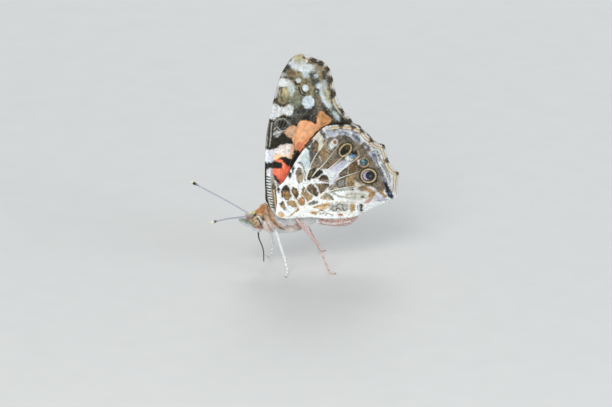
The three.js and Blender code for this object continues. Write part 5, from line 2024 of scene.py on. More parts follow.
@dataclass
class Body:
    """Head, thorax and abdomen: one skin without seams, inside the solids by the coat's depth.

    A station is a place along the body with the solids' middle height, half height and half width
    there. The coat's depth is given at places along the body too.
    """

    painter: Painter
    ground: Tint
    marks: tuple[Mark, ...]
    zones: tuple[CoatZone, ...]
    seed: int = 31
    stations: tuple[tuple[float, float, float, float], ...] = (
        (-7.05, 10.55, 0.45, 0.45), (-6.8, 10.4, 0.8, 0.85), (-6.35, 10.1, 1.3, 1.15),
        (-5.75, 9.7, 1.85, 1.5), (-5.1, 9.75, 1.8, 1.5), (-4.65, 9.95, 1.55, 1.3),
        (-4.1, 10.05, 2.1, 1.75), (-3.2, 10.0, 2.6, 2.15),
        (-1.6, 9.8, 2.95, 2.45), (0.2, 9.65, 3.1, 2.5), (2.0, 9.6, 2.95, 2.4), (3.8, 9.6, 2.35, 2.0),
        (4.9, 9.6, 1.75, 1.5), (5.5, 9.6, 1.3, 1.15), (6.4, 9.5, 1.6, 1.45), (8.0, 9.35, 1.85, 1.7),
        (9.8, 9.2, 2.0, 1.8), (11.6, 9.05, 1.9, 1.7), (12.8, 9.05, 1.5, 1.35), (13.7, 9.15, 0.9, 0.8),
        (14.1, 9.2, 0.35, 0.35),
    )
    coat: tuple[Pair, ...] = ((-7.05, 0.12), (-6.3, 0.2), (-5.1, 0.25), (-4.0, 0.4), (0.0, 0.5), (4.0, 0.4),
                              (6.0, 0.2), (14.1, 0.15))
    step: float = 0.11
    sides: int = 110
    segments: int = 8
    groove: float = 0.045
    abdomen: Pair = (5.65, 14.1)
    wildness: float = 0.16
    glow: Pair = (1.05, 1.4)

    def section(self, x: Points) -> tuple[Points, Points, Points]:
        """Cuts across the skin.

        Args:
            x: places along the body.

        Returns:
            The centre's height, the half height and the half width at each.
        """
        rows = curve_through(self.stations, 0.05)
        centre, height, width = (np.interp(x, rows[:, 0], rows[:, column]) for column in (1, 2, 3))
        depth = np.interp(x, *np.array(self.coat).T)
        start, stop = self.abdomen
        share = np.clip((x - start) / (stop - start), 0, 1)
        ring = np.abs(np.cos(np.pi * share * self.segments)) ** 8 * self.groove * ease(x, start, start + 1)
        return centre, (height - depth) * (1 - ring), (width - depth) * (1 - ring)

    def surface(self, x: Points, turn: Points) -> tuple[Points, Points, Points]:
        """Finds places on the skin.

        Args:
            x: places along the body.
            turn: the angle round it, from its right side up over the back, in radians.

        Returns:
            The points, the directions out of the skin and the directions back along it.
        """
        def place(at_x: Points, at_turn: Points) -> Points:
            """Returns points of the skin."""
            centre, height, width = self.section(at_x)
            return np.stack([at_x, width * np.cos(at_turn), centre + height * np.sin(at_turn)], 1)

        nudge = 0.04
        back = place(x + nudge, turn) - place(x - nudge, turn)
        around = place(x, turn + nudge) - place(x, turn - nudge)
        normal = unit(np.cross(around, back))
        return place(x, turn), normal, unit(back)

    def chart(self, x: Points, turn: Points) -> Points:
        """Unwraps the skin round its length.

        Args:
            x: places along the body.
            turn: the angle round it, in radians.

        Returns:
            Places on the coat's map.
        """
        start, stop = self.stations[0][0], self.stations[-1][0]
        around = (turn / (2 * np.pi) + 0.25) % 1
        return np.stack([0.01 + 0.98 * (x - start) / (stop - start), 0.01 + 0.97 * around], 1)

    def build_skin(self, finish: bpy.types.Material) -> None:
        """Makes the skin.

        Args:
            finish: its material.
        """
        start, stop = self.stations[0][0] + 0.02, self.stations[-1][0] - 0.04
        count = round((stop - start) / self.step)
        x = np.repeat(np.linspace(start, stop, count), self.sides)
        turn = np.tile(np.linspace(0, 2 * np.pi, self.sides, endpoint=False), count)
        wall = self.surface(x, turn)[0]
        hubs = np.array([wall[:self.sides].mean(0), wall[-self.sides:].mean(0)])
        points = np.vstack([wall, hubs])
        charts = np.vstack([self.chart(x, turn), (0.005, 0.5), (0.995, 0.5)])
        colours = self.painter.paint(points, self.ground, self.marks)
        shape = Shape()
        shape.add(points, skin_over(count, self.sides), colours, charts)
        skin = shape.piece("body_skin", finish, mapped=True)
        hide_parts("thorax", "abdomen", "head")

    def build_coat(self, finish: bpy.types.Material) -> None:
        """Makes the coat, one piece for each zone.

        Args:
            finish: the hair's material.
        """
        draw = np.random.default_rng(self.seed)
        for zone in self.zones:
            x = draw.uniform(zone.start, zone.stop, zone.count * 2)
            girth = self.section(x)[1]
            x = x[draw.random(len(x)) < girth / girth.max()][:zone.count]
            turn = np.radians(draw.uniform(*zone.turns, len(x)))
            roots, out, back = self.surface(x, turn)
            around = np.cross(out, back)
            down = around * -np.sign(around[:, 2:])
            behind = ease(x, zone.parting - 0.25, zone.parting + 0.25)[:, None]
            stray = draw.normal(0, self.wildness, roots.shape)
            along = unit(back * blend(-1, 1, behind) + down * zone.sag + stray)
            along = unit(along - out * (along * out).sum(1)[:, None])
            count = len(x)
            length = draw.uniform(*zone.length, count)
            lift = np.radians(draw.uniform(*zone.lift, count))
            reach = (along * np.cos(lift)[:, None] + out * np.sin(lift)[:, None]) * length[:, None]
            colours = self.painter.paint(roots + reach * 0.6, self.ground, self.marks)
            colours = colours * draw.uniform(*self.glow, (count, 1))
            width = draw.uniform(*zone.width, count)
            curl = draw.uniform(0.5, 1.0, count) * zone.curl
            shape = Shape()
            # Each tuft is darker at its root and lighter at its tip: painted shade and painted light
            Tufts(roots, along, out, length, width, lift, curl, self.chart(x, turn), zone.rings,
                  zone.flat).add_to(shape, colours)
            piece = shape.piece(zone.piece, finish, mapped=True)


def limb_chart(share: Points, turn: Points) -> Points:
    """Gives places on the coat's map from how far along a limb and round it a hair grows."""
    return np.stack([0.01 + 0.95 * share, 0.01 + 0.95 * turn / (2 * np.pi)], 1)


@dataclass
class HairyLimb:
    """A limb of skin with tufts along it, such as a palp or a folded foreleg."""

    node: str
    slot: str
    path: tuple[Triple, ...]
    radii: tuple[float, ...]
    coat_depth: float
    count: int
    length: Pair
    width: Pair
    lift: Pair
    above: Tint
    below: Tint
    seed: int
    sides: int = 14
    wildness: float = 0.12
    glow: Pair = (0.85, 1.25)
    thinning: float = 0.45
    curl: float = 0.12

    def tube(self) -> Tube:
        """Shapes the limb's skin.

        Returns:
            A tube thinner than the limb by its coat's depth, with a round end.
        """
        path = curve_through(self.path, 0.12)
        share = np.linspace(0, len(self.radii) - 1, len(path))
        radii = np.interp(share, np.arange(len(self.radii)), self.radii) - self.coat_depth
        close = np.sqrt(np.clip((len(path) - np.arange(len(path)) - 0.6) / 3, 0.1, 1))
        return Tube(path, np.maximum(radii, 0.05) * close, self.sides)

    def build(self, skin_finish: bpy.types.Material, hair_finish: bpy.types.Material) -> None:
        """Makes the skin and coat on both sides.

        Args:
            skin_finish: the skin's material.
            hair_finish: the hair's material.
        """
        draw = np.random.default_rng(self.seed)
        tube = self.tube()
        below, above = linear(self.below), linear(self.above)

        def tinted(points: Points) -> Points:
            """Colours the skin by which way it faces."""
            middle = np.append(np.repeat(tube.path[:, 2], tube.sides), tube.path[(0, -1), 2])
            return blend(below, above, ease(points[:, 2] - middle, -0.15, 0.2)[:, None])

        shape = Shape()
        tube.add_to(shape, tinted)
        share = draw.random(self.count)
        turn = draw.uniform(0, 2 * np.pi, self.count)
        roots, out, along = tube.surface(share, turn)
        along = unit(along + draw.normal(0, self.wildness, along.shape))
        colours = blend(below, above, ease(out[:, 2], 0.1, 0.8)[:, None])
        colours = colours * draw.uniform(*self.glow, (self.count, 1))
        length = draw.uniform(*self.length, self.count) * (1 - self.thinning * share)
        width = draw.uniform(*self.width, self.count)
        lift = np.radians(draw.uniform(*self.lift, self.count))
        curl = np.full(self.count, self.curl)
        coat = Shape()
        Tufts(roots, along, out, length, width, lift, curl, limb_chart(share, turn)).add_to(coat, colours)
        for side in Side:
            skin = shape.piece(f"{self.node}_{side.word}_skin", skin_finish, side=side)
            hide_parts(f"{self.node}_{side.word}")
            hair = coat.piece(f"{self.node}_{side.word}_hair", hair_finish, mapped=True, side=side)


@dataclass
class Eyes:
    """The two compound eyes."""

    centre: Triple = (-5.65, 1.28, 9.8)
    radii: Triple = (0.92, 0.66, 1.22)
    rings: int = 36
    around: int = 56
    stripe: tuple[Pair, Pair] = ((257.2, 215.4), (263.4, 226.6))
    stripe_half: float = 1.3
    brow_hairs: int = 2600
    brow_length: Pair = (0.22, 0.42)
    brow_width: Pair = (0.05, 0.08)
    brow_lift: Pair = (5, 14)
    brow_glow: Pair = (0.95, 1.25)
    brow_lie: Triple = (0.5, 0.15, -0.85)
    top_glow: Triple = (1.35, 1.28, 1.3)
    bottom_glow: Triple = (1.5, 1.1, 1.05)
    seed: int = 21

    def build(self, finish: bpy.types.Material) -> None:
        """Makes both eyes, browner towards the underside.

        Args:
            finish: their material.
        """
        rise = np.linspace(-np.pi / 2, np.pi / 2, self.rings + 2)[1:-1]
        turn = np.linspace(0, 2 * np.pi, self.around, endpoint=False)
        ball = np.stack([np.cos(rise)[:, None] * np.cos(turn), np.cos(rise)[:, None] * np.sin(turn),
                         np.repeat(np.sin(rise)[:, None], self.around, 1)], 2).reshape(-1, 3)
        ball = np.vstack([ball, (0, 0, -1), (0, 0, 1)])
        points = ball * self.radii + self.centre
        low = ease(-ball[:, 2], -0.1, 0.9)[:, None]
        colours = blend(np.array(self.top_glow), np.array(self.bottom_glow), low)
        shape = Shape()
        shape.add(points, skin_over(self.rings, self.around), colours)
        for side in Side:
            eye = shape.piece(f"eye_{side.word}_facets", finish, side=side)
            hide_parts(f"eye_{side.word}")

    def build_brow(self, finish: bpy.types.Material, painter: Painter) -> None:
        """Lays short hair over the back of both eyes, up to the pale stripe.

        Args:
            finish: the hair's material.
            painter: knows where the stripe shows.
        """
        draw = np.random.default_rng(self.seed)
        rise = np.arcsin(draw.uniform(-0.98, 0.98, self.brow_hairs))
        turn = draw.uniform(-0.1, np.pi / 2 + 0.5, self.brow_hairs)
        ball = np.stack([np.cos(rise) * np.cos(turn), np.cos(rise) * np.sin(turn), np.sin(rise)], 1)
        roots = ball * self.radii + self.centre
        seen = painter.plate.pixels(roots)
        top, bottom = self.stripe
        line = top[0] + (seen[:, 1] - top[1]) * (bottom[0] - top[0]) / (bottom[1] - top[1])
        keep = seen[:, 0] > line - self.stripe_half
        roots, out = roots[keep], unit(ball[keep] / self.radii)
        count = len(roots)
        along = np.array(self.brow_lie) + draw.normal(0, 0.1, roots.shape)
        along = unit(along - out * (along * out).sum(1)[:, None])
        length = draw.uniform(*self.brow_length, count)
        colours = painter.paint(roots + along * length[:, None] * 0.5, Tint.OLIVE, BODY_MARKS)
        chart = np.stack([0.5 + ball[keep, 0] * 0.45, 0.5 + ball[keep, 2] * 0.45], 1)
        hair = Shape()
        width = draw.uniform(*self.brow_width, count)
        lift = np.radians(draw.uniform(*self.brow_lift, count))
        colours = colours * draw.uniform(*self.brow_glow, (count, 1))
        Tufts(roots, along, out, length, width, lift, np.full(count, 0.1), chart).add_to(hair, colours)
        for side in Side:
            hair.piece(f"brow_{side.word}", finish, mapped=True, side=side)


@dataclass
class Antennae:
    """The feelers: pale ringed shafts that end in a dark club with a cream tip."""

    root: Triple = (-6.7, 0.5, 10.75)
    right: tuple[Triple, ...] = ((-9.6, 3.6, 12.05), (-13.2, 7.1, 13.5), (-16.2, 10.05, 14.68))
    left: tuple[Triple, ...] = ((-9.6, 3.6, 11.8), (-13.2, 7.1, 12.9), (-16.35, 10.05, 13.53))
    shaft: float = 0.15
    socket: float = 0.24
    club: float = 0.3
    club_from: float = 0.84
    dash_start: Pair = (0.55, 0.7)
    dash_stop: Pair = (0.9, 1.0)
    plain_from: Pair = (0.78, 0.84)
    dark_from: Pair = (0.8, 0.88)
    black_from: Pair = (0.87, 0.92)
    tip_from: Pair = (0.938, 0.952)
    segments: int = 44
    rings_each: int = 7
    sides: int = 12

    def build(self, finish: bpy.types.Material) -> None:
        """Makes both feelers.

        Args:
            finish: their material.
        """
        for side, bend in ((Side.LEFT, self.left), (Side.RIGHT, self.right)):
            rough = curve_through((self.root, *bend), 0.05)
            places = np.linspace(0, len(rough) - 1, self.segments * self.rings_each + 1)
            path = np.stack([np.interp(places, np.arange(len(rough)), column) for column in rough.T], 1)
            share = np.linspace(0, 1, len(path))
            radii = blend(self.shaft, self.club, ease(share, self.club_from, 0.95))
            radii = radii + (self.socket - self.shaft) * (1 - ease(share, 0.0, 0.03))
            radii = radii * np.sqrt(np.clip((1.0 - share) / 0.022, 0.02, 1))
            joint = np.abs(np.sin(np.pi * share * self.segments))
            radii = radii * (0.9 + 0.1 * joint**0.5)
            points = Tube(path, radii, self.sides).points()
            each = np.append(np.repeat(share, self.sides), (0.0, 1.0))
            phase = (each * self.segments) % 1
            dash = ease(phase, *self.dash_start) * (1 - ease(phase, *self.dash_stop))
            dash = dash * (1 - ease(each, *self.plain_from))
            colours = blend(linear(Tint.LILAC_GREY), linear(Tint.SLATE), (dash * 0.9)[:, None])
            colours = blend(colours, linear(Tint.SLATE), (ease(each, *self.dark_from) * 0.6)[:, None])
            colours = blend(colours, linear(Tint.BLACK), ease(each, *self.black_from)[:, None])
            colours = blend(colours, linear(Tint.CREAM), ease(each, *self.tip_from)[:, None])
            shape = Shape()
            shape.add(points, skin_over(len(path), self.sides), colours)
            piece = shape.piece(f"antenna_{side.word}_rings", finish, side=side)
            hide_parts(f"antenna_{side.word}")


@dataclass(frozen=True)
class ScaleZone:
    """Scales or spines on a stretch of a leg, whose ends are in millimetres along it from the hip."""

    start: float
    stop: float
    count: int
    reach: Pair
    width: Pair
    lift: Pair
    tint: Tint
    glow: float


@dataclass
class Leg:
    """A walking leg from hip to claws, with its scales, spines and tarsal joints.

    A claw runs through three places, each so far forward, aside and up from the foot's tip.
    """

    name: str
    hip: Triple
    knee: Triple
    ankle: Triple
    heel: Triple
    toe: Triple
    tip: Triple
    reach: dict[Side, float]
    femur_tint: Tint
    tibia_tint: Tint
    foot_tint: Tint
    seed: int
    femur_radius: float = 0.32
    knee_radius: float = 0.26
    tibia_radius: float = 0.235
    tarsus_radius: float = 0.17
    tarsal_joints: int = 5
    bend: float = 0.35
    sides: int = 12
    glow: Pair = (0.75, 1.1)
    near_floor: float = 0.35
    floor_reach: float = 0.12
    scale_curl: float = 0.05
    joint_waist: float = 0.16
    joint_shade: float = 0.5
    claw: tuple[Triple, ...] = ((-0.05, 0.0, 0.0), (0.12, 0.1, 0.03), (0.22, 0.17, -0.07))
    claw_radii: Pair = (0.05, 0.015)

    def path(self, side: Side) -> tuple[Points, Points]:
        """Draws the leg's centre line, as on the right side.

        Args:
            side: which of the two legs it is for.

        Returns:
            The line's points and how many millimetres along it each is.
        """
        step = self.reach[side]
        stations = [np.array(self.hip), np.array(self.knee), np.array(self.ankle) + (step / 2, 0, 0)]
        stations += [np.array(row) + (step, 0, 0) for row in (self.heel, self.toe, self.tip)]
        rows = [stations[0]]
        for before, corner, after in zip(stations, stations[1:], stations[2:]):
            rows.append(corner + unit(before - corner) * self.bend)
            rows.append(corner + unit(after - corner) * self.bend)
        rows.append(stations[-1])
        path = curve_through(rows, 0.07)
        return path, np.concatenate([[0], np.cumsum(np.linalg.norm(np.diff(path, axis=0), axis=1))])

    def build(self, finish: bpy.types.Material, hair_finish: bpy.types.Material) -> None:
        """Makes the leg on both sides.

        Args:
            finish: the limb's material.
            hair_finish: the material of scales and spines.
        """
        for side in Side:
            draw = np.random.default_rng(self.seed)
            path, length = self.path(side)
            knee = length[np.argmin(np.linalg.norm(path - np.array(self.knee), axis=1))]
            ankle_place = np.array(self.ankle) + (self.reach[side] / 2, 0, 0)
            ankle = length[np.argmin(np.linalg.norm(path - ankle_place, axis=1))]
            radii = self.radii(length, knee, ankle)
            path[:, 2] = np.maximum(path[:, 2], radii + 0.005)
            tube = Tube(path, radii, self.sides)
            colours = self.skin_colours(length, knee, ankle)
            shape = Shape()
            shape.add(tube.points(), skin_over(len(path), self.sides), colours)
            self.add_claws(shape, path)
            leg = shape.piece(f"{self.name}_{side.word}_limb", finish, side=side)
            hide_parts(*(f"{self.name}_{part}_{side.word}" for part in ("femur", "tibia", "tarsus")))
            coat = Shape()
            self.add_scales(coat, tube, length, knee, ankle, draw)
            hair = coat.piece(f"{self.name}_{side.word}_spines", hair_finish, mapped=True, side=side)

    def radii(self, length: Points, knee: float, ankle: float) -> Points:
        """Gives the leg's thickness, with a waist at each joint of the foot and a rounded end.

        Args:
            length: how far along the leg each point of its path is.
            knee: how far along the knee is.
            ankle: how far along the ankle is.

        Returns:
            The radius at each point.
        """
        end = length[-1]
        radii = np.interp(length, (0, knee * 0.4, knee, knee + 0.8, ankle, ankle + 0.4, end), (
            self.femur_radius * 0.8, self.femur_radius, self.knee_radius, self.tibia_radius,
            self.tibia_radius * 1.05, self.tarsus_radius, self.tarsus_radius))
        foot = np.clip((length - ankle) / (end - ankle), 0, 1)
        waist = np.abs(np.cos(np.pi * foot * self.tarsal_joints)) ** 6
        radii = radii * (1 - self.joint_waist * (foot > 0) * waist)
        return radii * np.sqrt(np.clip((end - length + 0.02) / 0.12, 0.1, 1))

    def skin_colours(self, length: Points, knee: float, ankle: float) -> Points:
        """Gives the colours of femur, tibia and foot, which is darker at its joints.

        Args:
            length: how far along the leg each point of its path is.
            knee: how far along the knee is.
            ankle: how far along the ankle is.

        Returns:
            One row for each point of the leg's tube.
        """
        end = length[-1]
        each = np.append(np.repeat(length, self.sides), (0.0, end))
        lower = ease(each, knee - 0.5, knee + 0.3)[:, None]
        colours = blend(linear(self.femur_tint), linear(self.tibia_tint), lower)
        colours = blend(colours, linear(self.foot_tint), ease(each, ankle - 0.3, ankle + 0.5)[:, None])
        foot = np.clip((each - ankle) / (end - ankle), 0, 1)
        joint = np.abs(np.cos(np.pi * foot * self.tarsal_joints)) ** 8
        dark = joint * (each > ankle + 0.1) * self.joint_shade
        return blend(colours, linear(Tint.HAZEL), dark[:, None])

    def add_claws(self, shape: Shape, path: Points) -> None:
        """Adds the two small hooked claws at the foot's tip.

        Args:
            shape: what they join.
            path: the leg's centre line.
        """
        way = unit(path[-1] - path[-6])
        for sign in (-1, 1):
            spread = np.array((way[1], -way[0], 0)) * sign
            rows = [path[-1] + way * forward + spread * aside + (0, 0, rise)
                    for forward, aside, rise in self.claw]
            hook = curve_through(rows, 0.04)
            hook[:, 2] = np.maximum(hook[:, 2], 0.035)
            thin = np.linspace(*self.claw_radii, len(hook))
            Tube(hook, thin, 6).add_to(shape, lambda points: linear(Tint.SOOT))

    def add_scales(self, shape: Shape, tube: Tube, length: Points, knee: float, ankle: float,
                   draw: np.random.Generator) -> None:
        """Adds the femur's and tibia's lying scales, and spines down to the foot.

        Args:
            shape: what they join.
            tube: the leg's skin.
            length: how far along the leg each of its points is.
            knee: how far along the knee is.
            ankle: how far along the ankle is.
            draw: the leg's random numbers.
        """
        zones = (
            ScaleZone(0.0, knee, 420, reach=(0.25, 0.45), width=(0.07, 0.11), lift=(8, 24),
                      tint=self.femur_tint, glow=1.05),
            ScaleZone(knee, ankle, 420, reach=(0.16, 0.28), width=(0.05, 0.08), lift=(6, 16),
                      tint=self.tibia_tint, glow=1.1),
            ScaleZone(knee + 0.4, length[-1] - 0.2, 60, reach=(0.18, 0.3), width=(0.03, 0.045),
                      lift=(35, 55), tint=Tint.HAZEL, glow=1.0))
        for zone in zones:
            count = zone.count
            places = draw.uniform(zone.start, zone.stop, count)
            share = np.interp(places, length, np.linspace(0, 1, len(length)))
            turn = draw.uniform(0, 2 * np.pi, count)
            roots, out, along = tube.surface(share, turn)
            colours = linear(zone.tint) * zone.glow * draw.uniform(*self.glow, (count, 1))
            chart = limb_chart(share, turn)
            size = draw.uniform(*zone.reach, count)
            low = roots[:, 2] < self.near_floor
            size = np.where(low, np.minimum(size, self.floor_reach), size)
            lifts = np.radians(draw.uniform(*zone.lift, count)) * np.where(low & (out[:, 2] < 0), 0, 1)
            widths = draw.uniform(*zone.width, count)
            curls = np.full(count, self.scale_curl)
            Tufts(roots, along, out, size, widths, lifts, curls, chart, rings=2).add_to(shape, colours)


@dataclass
class Tongue:
    """The proboscis: two tubes side by side, reaching down from the mouth."""

    path: tuple[Triple, ...] = ((-5.2, 0.0, 7.9), (-5.14, 0.0, 7.3), (-5.05, 0.0, 6.0), (-4.5, 0.0, 4.6),
                                (-4.15, 0.0, 3.2), (-4.1, 0.0, 1.2))
    radius: float = 0.12
    half_gap: float = 0.085
    shade: float = 0.6
    narrowing: float = 0.45
    ring_depth: float = 0.04
    ring_turn: float = 1.6

    def build(self, finish: bpy.types.Material) -> None:
        """Makes the proboscis.

        Args:
            finish: its material.
        """
        shape = Shape()
        centre = curve_through(self.path, 0.06)
        share = np.linspace(0, 1, len(centre))
        rings = 1 + self.ring_depth * np.sin(share * len(centre) * self.ring_turn)
        radii = self.radius * (1.15 - self.narrowing * share) * rings
        gap = self.half_gap * (1.1 - self.narrowing * share)
        for sign in (-1, 1):
            half = centre + np.stack([0 * share, sign * gap, 0 * share], 1)
            Tube(half, radii, 12).add_to(shape, lambda points: linear(Tint.UMBER) * self.shade)
        piece = shape.piece("proboscis_tubes", finish)
        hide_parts("proboscis")


@dataclass(frozen=True)
class SoftLight:
    """A square lamp: where it is from the butterfly's middle in millimetres, its side and its power."""

    name: str
    place: Triple
    side: float
    power: float
    colour: Triple = (1.0, 1.0, 1.0)

    def build(self, target: Points) -> None:
        """Puts the lamp in the scene, turned to the butterfly.

        Args:
            target: the middle of the butterfly, in millimetres.
        """
        lamp = bpy.data.lights.new(self.name, "AREA")
        lamp.size = self.side * MM
        lamp.energy = self.power
        lamp.color = self.colour
        holder = bpy.data.objects.new(self.name, lamp)
        holder.location = (target + np.array(self.place)) * MM
        holder.rotation_euler = Vector(np.array(self.place)).to_track_quat("Z", "Y").to_euler()
        bpy.context.scene.collection.objects.link(holder)


@dataclass
class Studio:
    """Pale floor, soft lamps and an even surround."""

    floor_side: float = 6000.0
    surround: tuple[float, float, float, float] = (0.9, 0.93, 0.97, 1.0)
    surround_strength: float = 0.55
    middle: Triple = (0.0, 0.0, 15.0)
    lamps: tuple[SoftLight, ...] = (
        SoftLight("key", (-230.0, -420.0, 430.0), 330.0, 1.75, (1.0, 0.98, 0.95)),
        SoftLight("fill", (430.0, -330.0, 200.0), 360.0, 0.8, (0.95, 0.97, 1.0)),
        SoftLight("low", (-180.0, -460.0, 40.0), 200.0, 0.75),
        SoftLight("rim", (120.0, 460.0, 380.0), 300.0, 1.1),
    )

    def build(self) -> None:
        """Makes the floor, surround and lamps."""
        half = self.floor_side / 2 * MM
        mesh = bpy.data.meshes.new("floor")
        corners = [(-half, -half, 0), (half, -half, 0), (half, half, 0), (-half, half, 0)]
        mesh.from_pydata(corners, [], [(0, 1, 2, 3)])
        mesh.materials.append(FloorFinish().make())
        floor = bpy.data.objects.new("floor", mesh)
        bpy.context.scene.collection.objects.link(floor)
        world = bpy.data.worlds.new("surround")
        bpy.context.scene.world = world
        world.use_nodes = True
        background = world.node_tree.nodes["Background"]
        background.inputs[0].default_value = self.surround
        background.inputs[1].default_value = self.surround_strength
        for lamp in self.lamps:
            lamp.build(np.array(self.middle))
        bpy.context.scene.view_settings.view_transform = "Standard"


def make_forewing(painter: Painter) -> Wing:
    """Sets the forewings' sizes and markings.

    Args:
        painter: what lays the marks.

    Returns:
        The pair, ready to build.
    """
    return Wing(
        name="forewing",
        costa=((-2.4, 11.5), (-3.55, 13.2), (-3.95, 17), (-3.9, 22), (-3.7, 26.2), (-3, 30.3), (-1.9, 35),
               (-0.8, 38.6), (0.9, 41.35), (1.8, 42.05), (3, 42.4)),
        margin=((3, 42.4, -0.1), (5.6, 41.4, 0), (7.1, 40.75, -0.05), (8.5, 39.2, 0), (9.2, 37, 0.05),
                (9.75, 34.2, 0.25), (11.2, 30.65, 0.15), (12.75, 28.65, 0.1), (14.4, 25.5, 0)),
        inner=((14.4, 25.5), (9.7, 22.3), (4.4, 18), (0.3, 13.9), (-1.5, 11.4), (-2.4, 11.5)),
        veins=FOREWING_VEINS,
        vein_tint=Tint.KHAKI,
        vein_cover=0.16,
        vein_radius=0.12,
        lateral=forewing_side,
        ground=Tint.SOOT,
        marks=FOREWING_MARKS,
        upper_ground=Tint.SOOT,
        upper_marks=FOREWING_UPPER_MARKS,
        bands=(Band(Tint.FAWN, 0.3, 0.78, Tint.SOOT, 0.85, 0.14),
               Band(Tint.WHITE, -1, 0.34, Tint.UMBER, 0.5)),
        painter=painter,
        seed=11,
    )


def make_hindwing(painter: Painter) -> Wing:
    """Sets the hindwings' sizes and markings.

    Args:
        painter: what lays the marks.

    Returns:
        The pair, ready to build.
    """
    plate = painter.plate
    veins = tuple(tuple(map(tuple, plate.on_wing(vein, hindwing_side))) for vein in HINDWING_VEINS)
    return Wing(
        name="hindwing",
        costa=((-2.6, 12), (-2.05, 14), (-1.9, 16.2), (-0.4, 17.8), (0.9, 20.1), (3.4, 23.9), (6, 26.9),
               (7.6, 28.1)),
        margin=((7.6, 28.1, -0.1), (10.5, 28.2, -0.1), (12.9, 27.75, -0.1), (14.7, 26.8, 0.05),
                (16.55, 24.8, 0.3), (19.15, 23.05, 0.05), (19.9, 20, 0.3), (21.95, 17.25, 0.02),
                (21.5, 12.5, 0)),
        inner=((21.5, 12.5), (20, 11.7), (18.2, 11.05), (16.5, 10.5), (14.7, 10.05), (12.6, 9.75), (8.2, 9.8),
               (4.6, 10.3), (0.3, 10.8), (-1.8, 11.3), (-2.6, 12)),
        veins=veins,
        vein_tint=Tint.CREAM_WHITE,
        vein_cover=0.85,
        vein_radius=0.12,
        lateral=hindwing_side,
        ground=Tint.WHITE,
        marks=HINDWING_MARKS,
        upper_ground=Tint.AMBER,
        upper_marks=HINDWING_UPPER_MARKS,
        bands=(Band(Tint.WHITE, -1, 0.32, Tint.UMBER, 0.42), Band(Tint.TAN, 0.32, 0.7, Tint.UMBER, 0.36),
               Band(Tint.IVORY, 0.7, 0.88, Tint.BROWN, 0.3), Band(Tint.DRAB, 0.88, 1.04, Tint.BROWN, 0.4)),
        painter=painter,
        seed=12,
    )


COAT_ZONES = (
    CoatZone("coat_head", "body_hair", start=-6.98, stop=-4.5, count=6000, length=(0.25, 0.5),
             width=(0.05, 0.09), lift=(10, 30), sag=0.15, curl=0.15, parting=-6.25),
    CoatZone("coat_face", "body_hair", start=-7.0, stop=-6.3, count=2400, length=(0.5, 1.0),
             width=(0.05, 0.08), lift=(6, 28), sag=0.5, curl=0.2, parting=-5.0),
    CoatZone("coat_muzzle", "body_hair", start=-7.0, stop=-6.2, count=2600, length=(0.6, 1.1),
             width=(0.05, 0.09), lift=(12, 38), sag=0.2, curl=0.2, parting=-5.0, turns=(180.0, 360.0)),
    CoatZone("coat_chin", "body_hair", start=-6.95, stop=-5.3, count=4600, length=(0.5, 0.9),
             width=(0.05, 0.08), lift=(10, 34), sag=0.1, curl=0.15, parting=-4.0, turns=(195.0, 345.0)),
    CoatZone("coat_throat", "body_hair", start=-5.9, stop=-4.1, count=4600, length=(0.7, 1.4),
             width=(0.05, 0.09), lift=(14, 40), sag=0.1, curl=0.2, turns=(200.0, 340.0)),
    CoatZone("coat_crest", "body_hair", start=-5.5, stop=-3.9, count=6400, length=(0.7, 1.3),
             width=(0.06, 0.1), lift=(30, 56), sag=0.05, curl=0.14, turns=(35.0, 145.0)),
    CoatZone("coat_neck", "body_hair", start=-5.8, stop=-4.3, count=4400, length=(0.7, 1.2),
             width=(0.05, 0.09), lift=(14, 40), sag=0.1, curl=0.2),
    CoatZone("coat_thorax_front", "body_hair", start=-4.6, stop=0.6, count=11500, length=(0.55, 1.15),
             width=(0.06, 0.11), lift=(5, 20), sag=0.45, curl=0.12),
    CoatZone("coat_thorax_rear", "body_hair", start=0.4, stop=5.9, count=11500, length=(0.6, 1.25),
             width=(0.06, 0.11), lift=(4, 16), sag=0.3, curl=0.1),
    CoatZone("coat_abdomen", "abdomen_hair", start=5.5, stop=14.0, count=13000, length=(0.3, 0.52),
             width=(0.09, 0.15), lift=(3, 9), sag=0.08, curl=0.08, rings=2, flat=0.15),
)

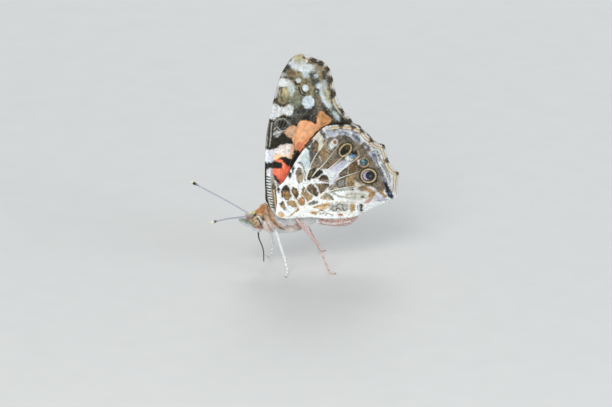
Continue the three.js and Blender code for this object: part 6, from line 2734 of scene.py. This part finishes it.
PALPS = HairyLimb(
    node="palp", slot="palp_hair",
    path=((-6.4, 0.58, 8.8), (-6.9, 0.62, 9.02), (-7.45, 0.66, 9.25), (-8.1, 0.6, 9.55), (-8.66, 0.49, 9.74)),
    radii=(0.4, 0.5, 0.48, 0.34, 0.2), coat_depth=0.14, count=2600, length=(0.4, 0.8), width=(0.05, 0.09),
    lift=(6, 30), above=Tint.MIST, below=Tint.CHALK, seed=41,
)
FORELEGS = HairyLimb(
    node="foreleg", slot="body_hair",
    path=((-4.45, 2.2, 10.2), (-4.3, 2.4, 9.3), (-3.8, 2.4, 8.45), (-3.0, 2.2, 7.95)),
    radii=(0.26, 0.42, 0.36, 0.25), coat_depth=0.16, count=1300, length=(0.4, 0.8), width=(0.05, 0.09),
    # The underside's pale pink is partly painted reflection of pink light from below
    lift=(8, 24), above=Tint.SAND, below=Tint.SHELL, seed=42,
)
MIDLEGS = Leg(
    name="midleg", hip=(-0.2, 1.25, 7.35), knee=(-2.5, 3.5, 8.5), ankle=(-1.0, 4.15, 3.1),
    heel=(-0.55, 4.7, 0.8), toe=(-0.85, 5.5, 0.15), tip=(-1.1, 6.15, 0.15),
    reach={Side.LEFT: 0.0, Side.RIGHT: -1.1}, femur_tint=Tint.WHITE, tibia_tint=Tint.WHITE,
    foot_tint=Tint.WHITE, seed=51,
)
HINDLEGS = Leg(
    name="hindleg", hip=(2.6, 1.45, 7.8), knee=(1.3, 4.95, 10.8), ankle=(5.3, 5.7, 5.8),
    heel=(7.0, 6.0, 1.0), toe=(7.6, 6.2, 0.15), tip=(8.3, 6.38, 0.15),
    reach={Side.LEFT: 0.0, Side.RIGHT: 0.7}, femur_tint=Tint.ROSE_GREY, tibia_tint=Tint.ROSE_GREY,
    foot_tint=Tint.ROSE_GREY, seed=52,
)


def main() -> None:
    """Builds the butterfly, piece by piece, and its studio."""
    logging.basicConfig(level=logging.INFO, format="%(message)s")
    camera = Camera()
    camera.build()
    Studio().build()
    painter = Painter(Plate(camera))
    wing_scales = WingFinish("wing_scales").make()
    skin = ScaleFinish("body_scales").make()
    limb = ScaleFinish("limb_scales", 0.05, 0.55).make()
    hair = HairFinish("hair").make()
    make_forewing(painter).build(wing_scales, "forewing")
    make_hindwing(painter).build(wing_scales, "hindwing")
    # The body's painter has almost no painted shade of dark tones and none towards the margins
    body_painter = Painter(Plate(camera), depth_of_darks=0.03, margin_shade=1.0)
    # The body's ground is pale pink, partly painted reflection of pink light from below
    body = Body(body_painter, Tint.SHELL, BODY_MARKS, COAT_ZONES)
    body.build_skin(skin)
    body.build_coat(hair)
    eyes = Eyes()
    eyes.build(EyeFinish().make())
    eyes.build_brow(hair, body_painter)
    Antennae().build(limb)
    for hairy in (PALPS, FORELEGS):
        hairy.build(skin, hair)
    for leg in (MIDLEGS, HINDLEGS):
        leg.build(limb, hair)
    Tongue().build(TongueFinish().make())


if __name__ == "__main__":
    main()
